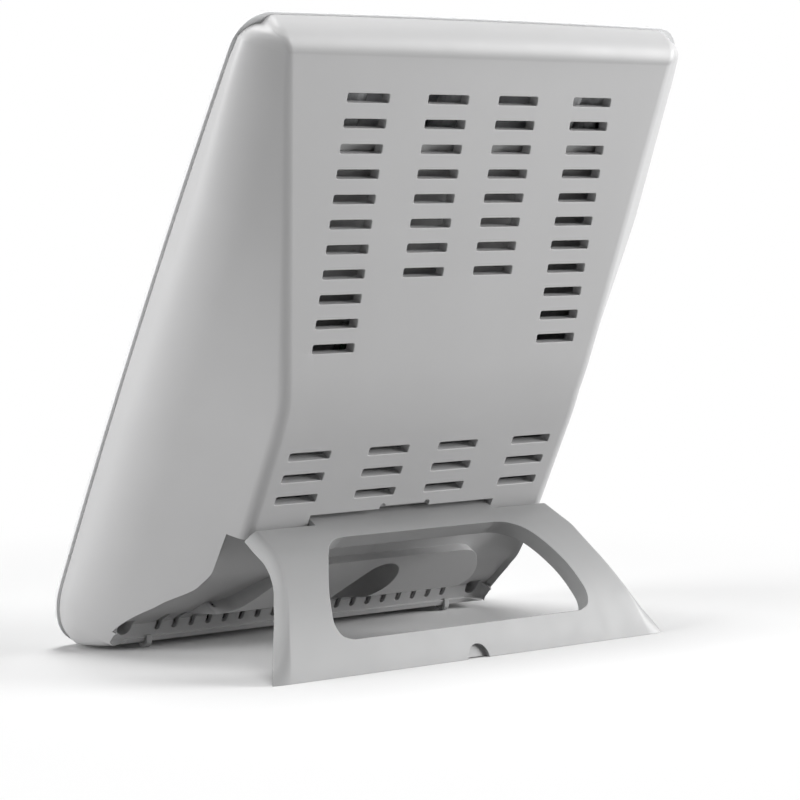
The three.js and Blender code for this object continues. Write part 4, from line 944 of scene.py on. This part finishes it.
def seen_directly(tree):
    """1 for camera, transmission and glossy rays, 0 for all others."""
    path = tree.nodes.new("ShaderNodeLightPath").outputs
    seen = math_node(tree, "MAXIMUM", path["Is Camera Ray"], path["Is Transmission Ray"])
    return math_node(tree, "MAXIMUM", seen, path["Is Glossy Ray"])


def floor_material():
    material = bpy.data.materials.new("floor")
    material.use_nodes = True
    tree = material.node_tree
    nodes, links = tree.nodes, tree.links
    nodes.remove(nodes["Principled BSDF"])
    seen = seen_directly(tree)
    place = nodes.new("ShaderNodeTexCoord")
    length = nodes.new("ShaderNodeVectorMath")
    length.operation = "LENGTH"
    links.new(place.outputs["Object"], length.inputs[0])
    fade = nodes.new("ShaderNodeMapRange")
    fade.interpolation_type = "SMOOTHSTEP"
    fade.inputs["From Min"].default_value = FADE_START
    fade.inputs["From Max"].default_value = FADE_END
    links.new(length.outputs["Value"], fade.inputs["Value"])
    colour = nodes.new("ShaderNodeMix")
    colour.data_type = "RGBA"
    colour.inputs["A"].default_value = (FLOOR_BOUNCE, FLOOR_BOUNCE, FLOOR_BOUNCE, 1)
    colour.inputs["B"].default_value = (FLOOR_TONE, FLOOR_TONE, FLOOR_TONE, 1)
    links.new(seen, colour.inputs["Factor"])
    diffuse = nodes.new("ShaderNodeBsdfDiffuse")
    links.new(colour.outputs["Result"], diffuse.inputs["Color"])
    white = nodes.new("ShaderNodeEmission")
    white.inputs["Color"].default_value = WHITE
    mix = nodes.new("ShaderNodeMixShader")
    links.new(math_node(tree, "MULTIPLY", seen, fade.outputs["Result"]), mix.inputs["Fac"])
    links.new(diffuse.outputs["BSDF"], mix.inputs[1])
    links.new(white.outputs["Emission"], mix.inputs[2])
    links.new(mix.outputs["Shader"], nodes["Material Output"].inputs["Surface"])
    return material


def stage():
    corners = [(-1, -1), (1, -1), (1, 1), (-1, 1)]
    floor = mesh_object("floor", [(x * FLOOR_HALF, y * FLOOR_HALF, 0) for x, y in corners],
                        [(0, 1, 2, 3)])
    floor.data.materials.append(floor_material())
    # White where it is seen, dark for the light that falls on the lamp
    world = bpy.data.worlds.new("studio")
    bpy.context.scene.world = world
    world.use_nodes = True
    tree = world.node_tree
    back = tree.nodes["Background"]
    tree.links.new(seen_directly(tree), back.inputs["Strength"])
    back.inputs["Color"].default_value = WHITE


# Lamps: azimuth from the x axis and elevation in degrees, size in metres, power in watts
LAMPS = (("left", -9, 10, (2.6, 2.4), 200), ("right", 152, 12, (2.2, 2.4), 232),
         ("top", 90, 86, (2.0, 2.4), 150))
LAMP_DISTANCE, LAMP_AIM = 4.5, 0.2


def area_light(name, azimuth, elevation, size, power):
    data = bpy.data.lights.new(name, "AREA")
    data.shape = "RECTANGLE"
    data.size, data.size_y = size
    data.energy = power
    light = bpy.data.objects.new(name, data)
    turn, rise = math.radians(azimuth), math.radians(elevation)
    way = Vector((math.cos(rise) * math.cos(turn), math.cos(rise) * math.sin(turn),
                  math.sin(rise)))
    light.location = way * LAMP_DISTANCE + Vector((0, 0, LAMP_AIM))
    light.rotation_euler = (-way).to_track_quat("-Z", "Y").to_euler()
    bpy.context.scene.collection.objects.link(light)


# Camera at the photograph's viewing angle: millimetres of lens and sensor, metres, radians
LENS, SENSOR, CLIP_END = 141.6, 36.0, 50
CAMERA_PLACE, CAMERA_YAW, CAMERA_PITCH = (1.41264, 1.62920, 0.32454), 0.7234, 0.0733


def camera():
    data = bpy.data.cameras.new("camera")
    data.lens, data.sensor_width = LENS, SENSOR
    data.clip_end = CLIP_END
    cam = bpy.data.objects.new("camera", data)
    cam.location = CAMERA_PLACE
    forward = Vector((-math.sin(CAMERA_YAW) * math.cos(CAMERA_PITCH),
                      -math.cos(CAMERA_YAW) * math.cos(CAMERA_PITCH), -math.sin(CAMERA_PITCH)))
    cam.rotation_euler = forward.to_track_quat("-Z", "Y").to_euler()
    bpy.context.scene.collection.objects.link(cam)
    bpy.context.scene.camera = cam


camera()
stage()
for lamp in LAMPS:
    area_light(*lamp)

finish_piece(rear_cover(), "shell_grey", "case", ["rear_cover"], CASE)
finish_piece(front_bezel(), "frame_white", "case", ["front_frame"], CASE)
finish_piece(stand_skin(), "stand_grey", "stand", ["stand"], HINGE)
finish_piece(button_cap(), "frame_white", "button", ["power_button"], CASE)

for side in ("left", "right"):
    finish_piece(foot_fin("foot_" + side), "foot_rubber", "case", ["foot_" + side],
                 MM)

bpy.context.scene.view_settings.view_transform = "Standard"
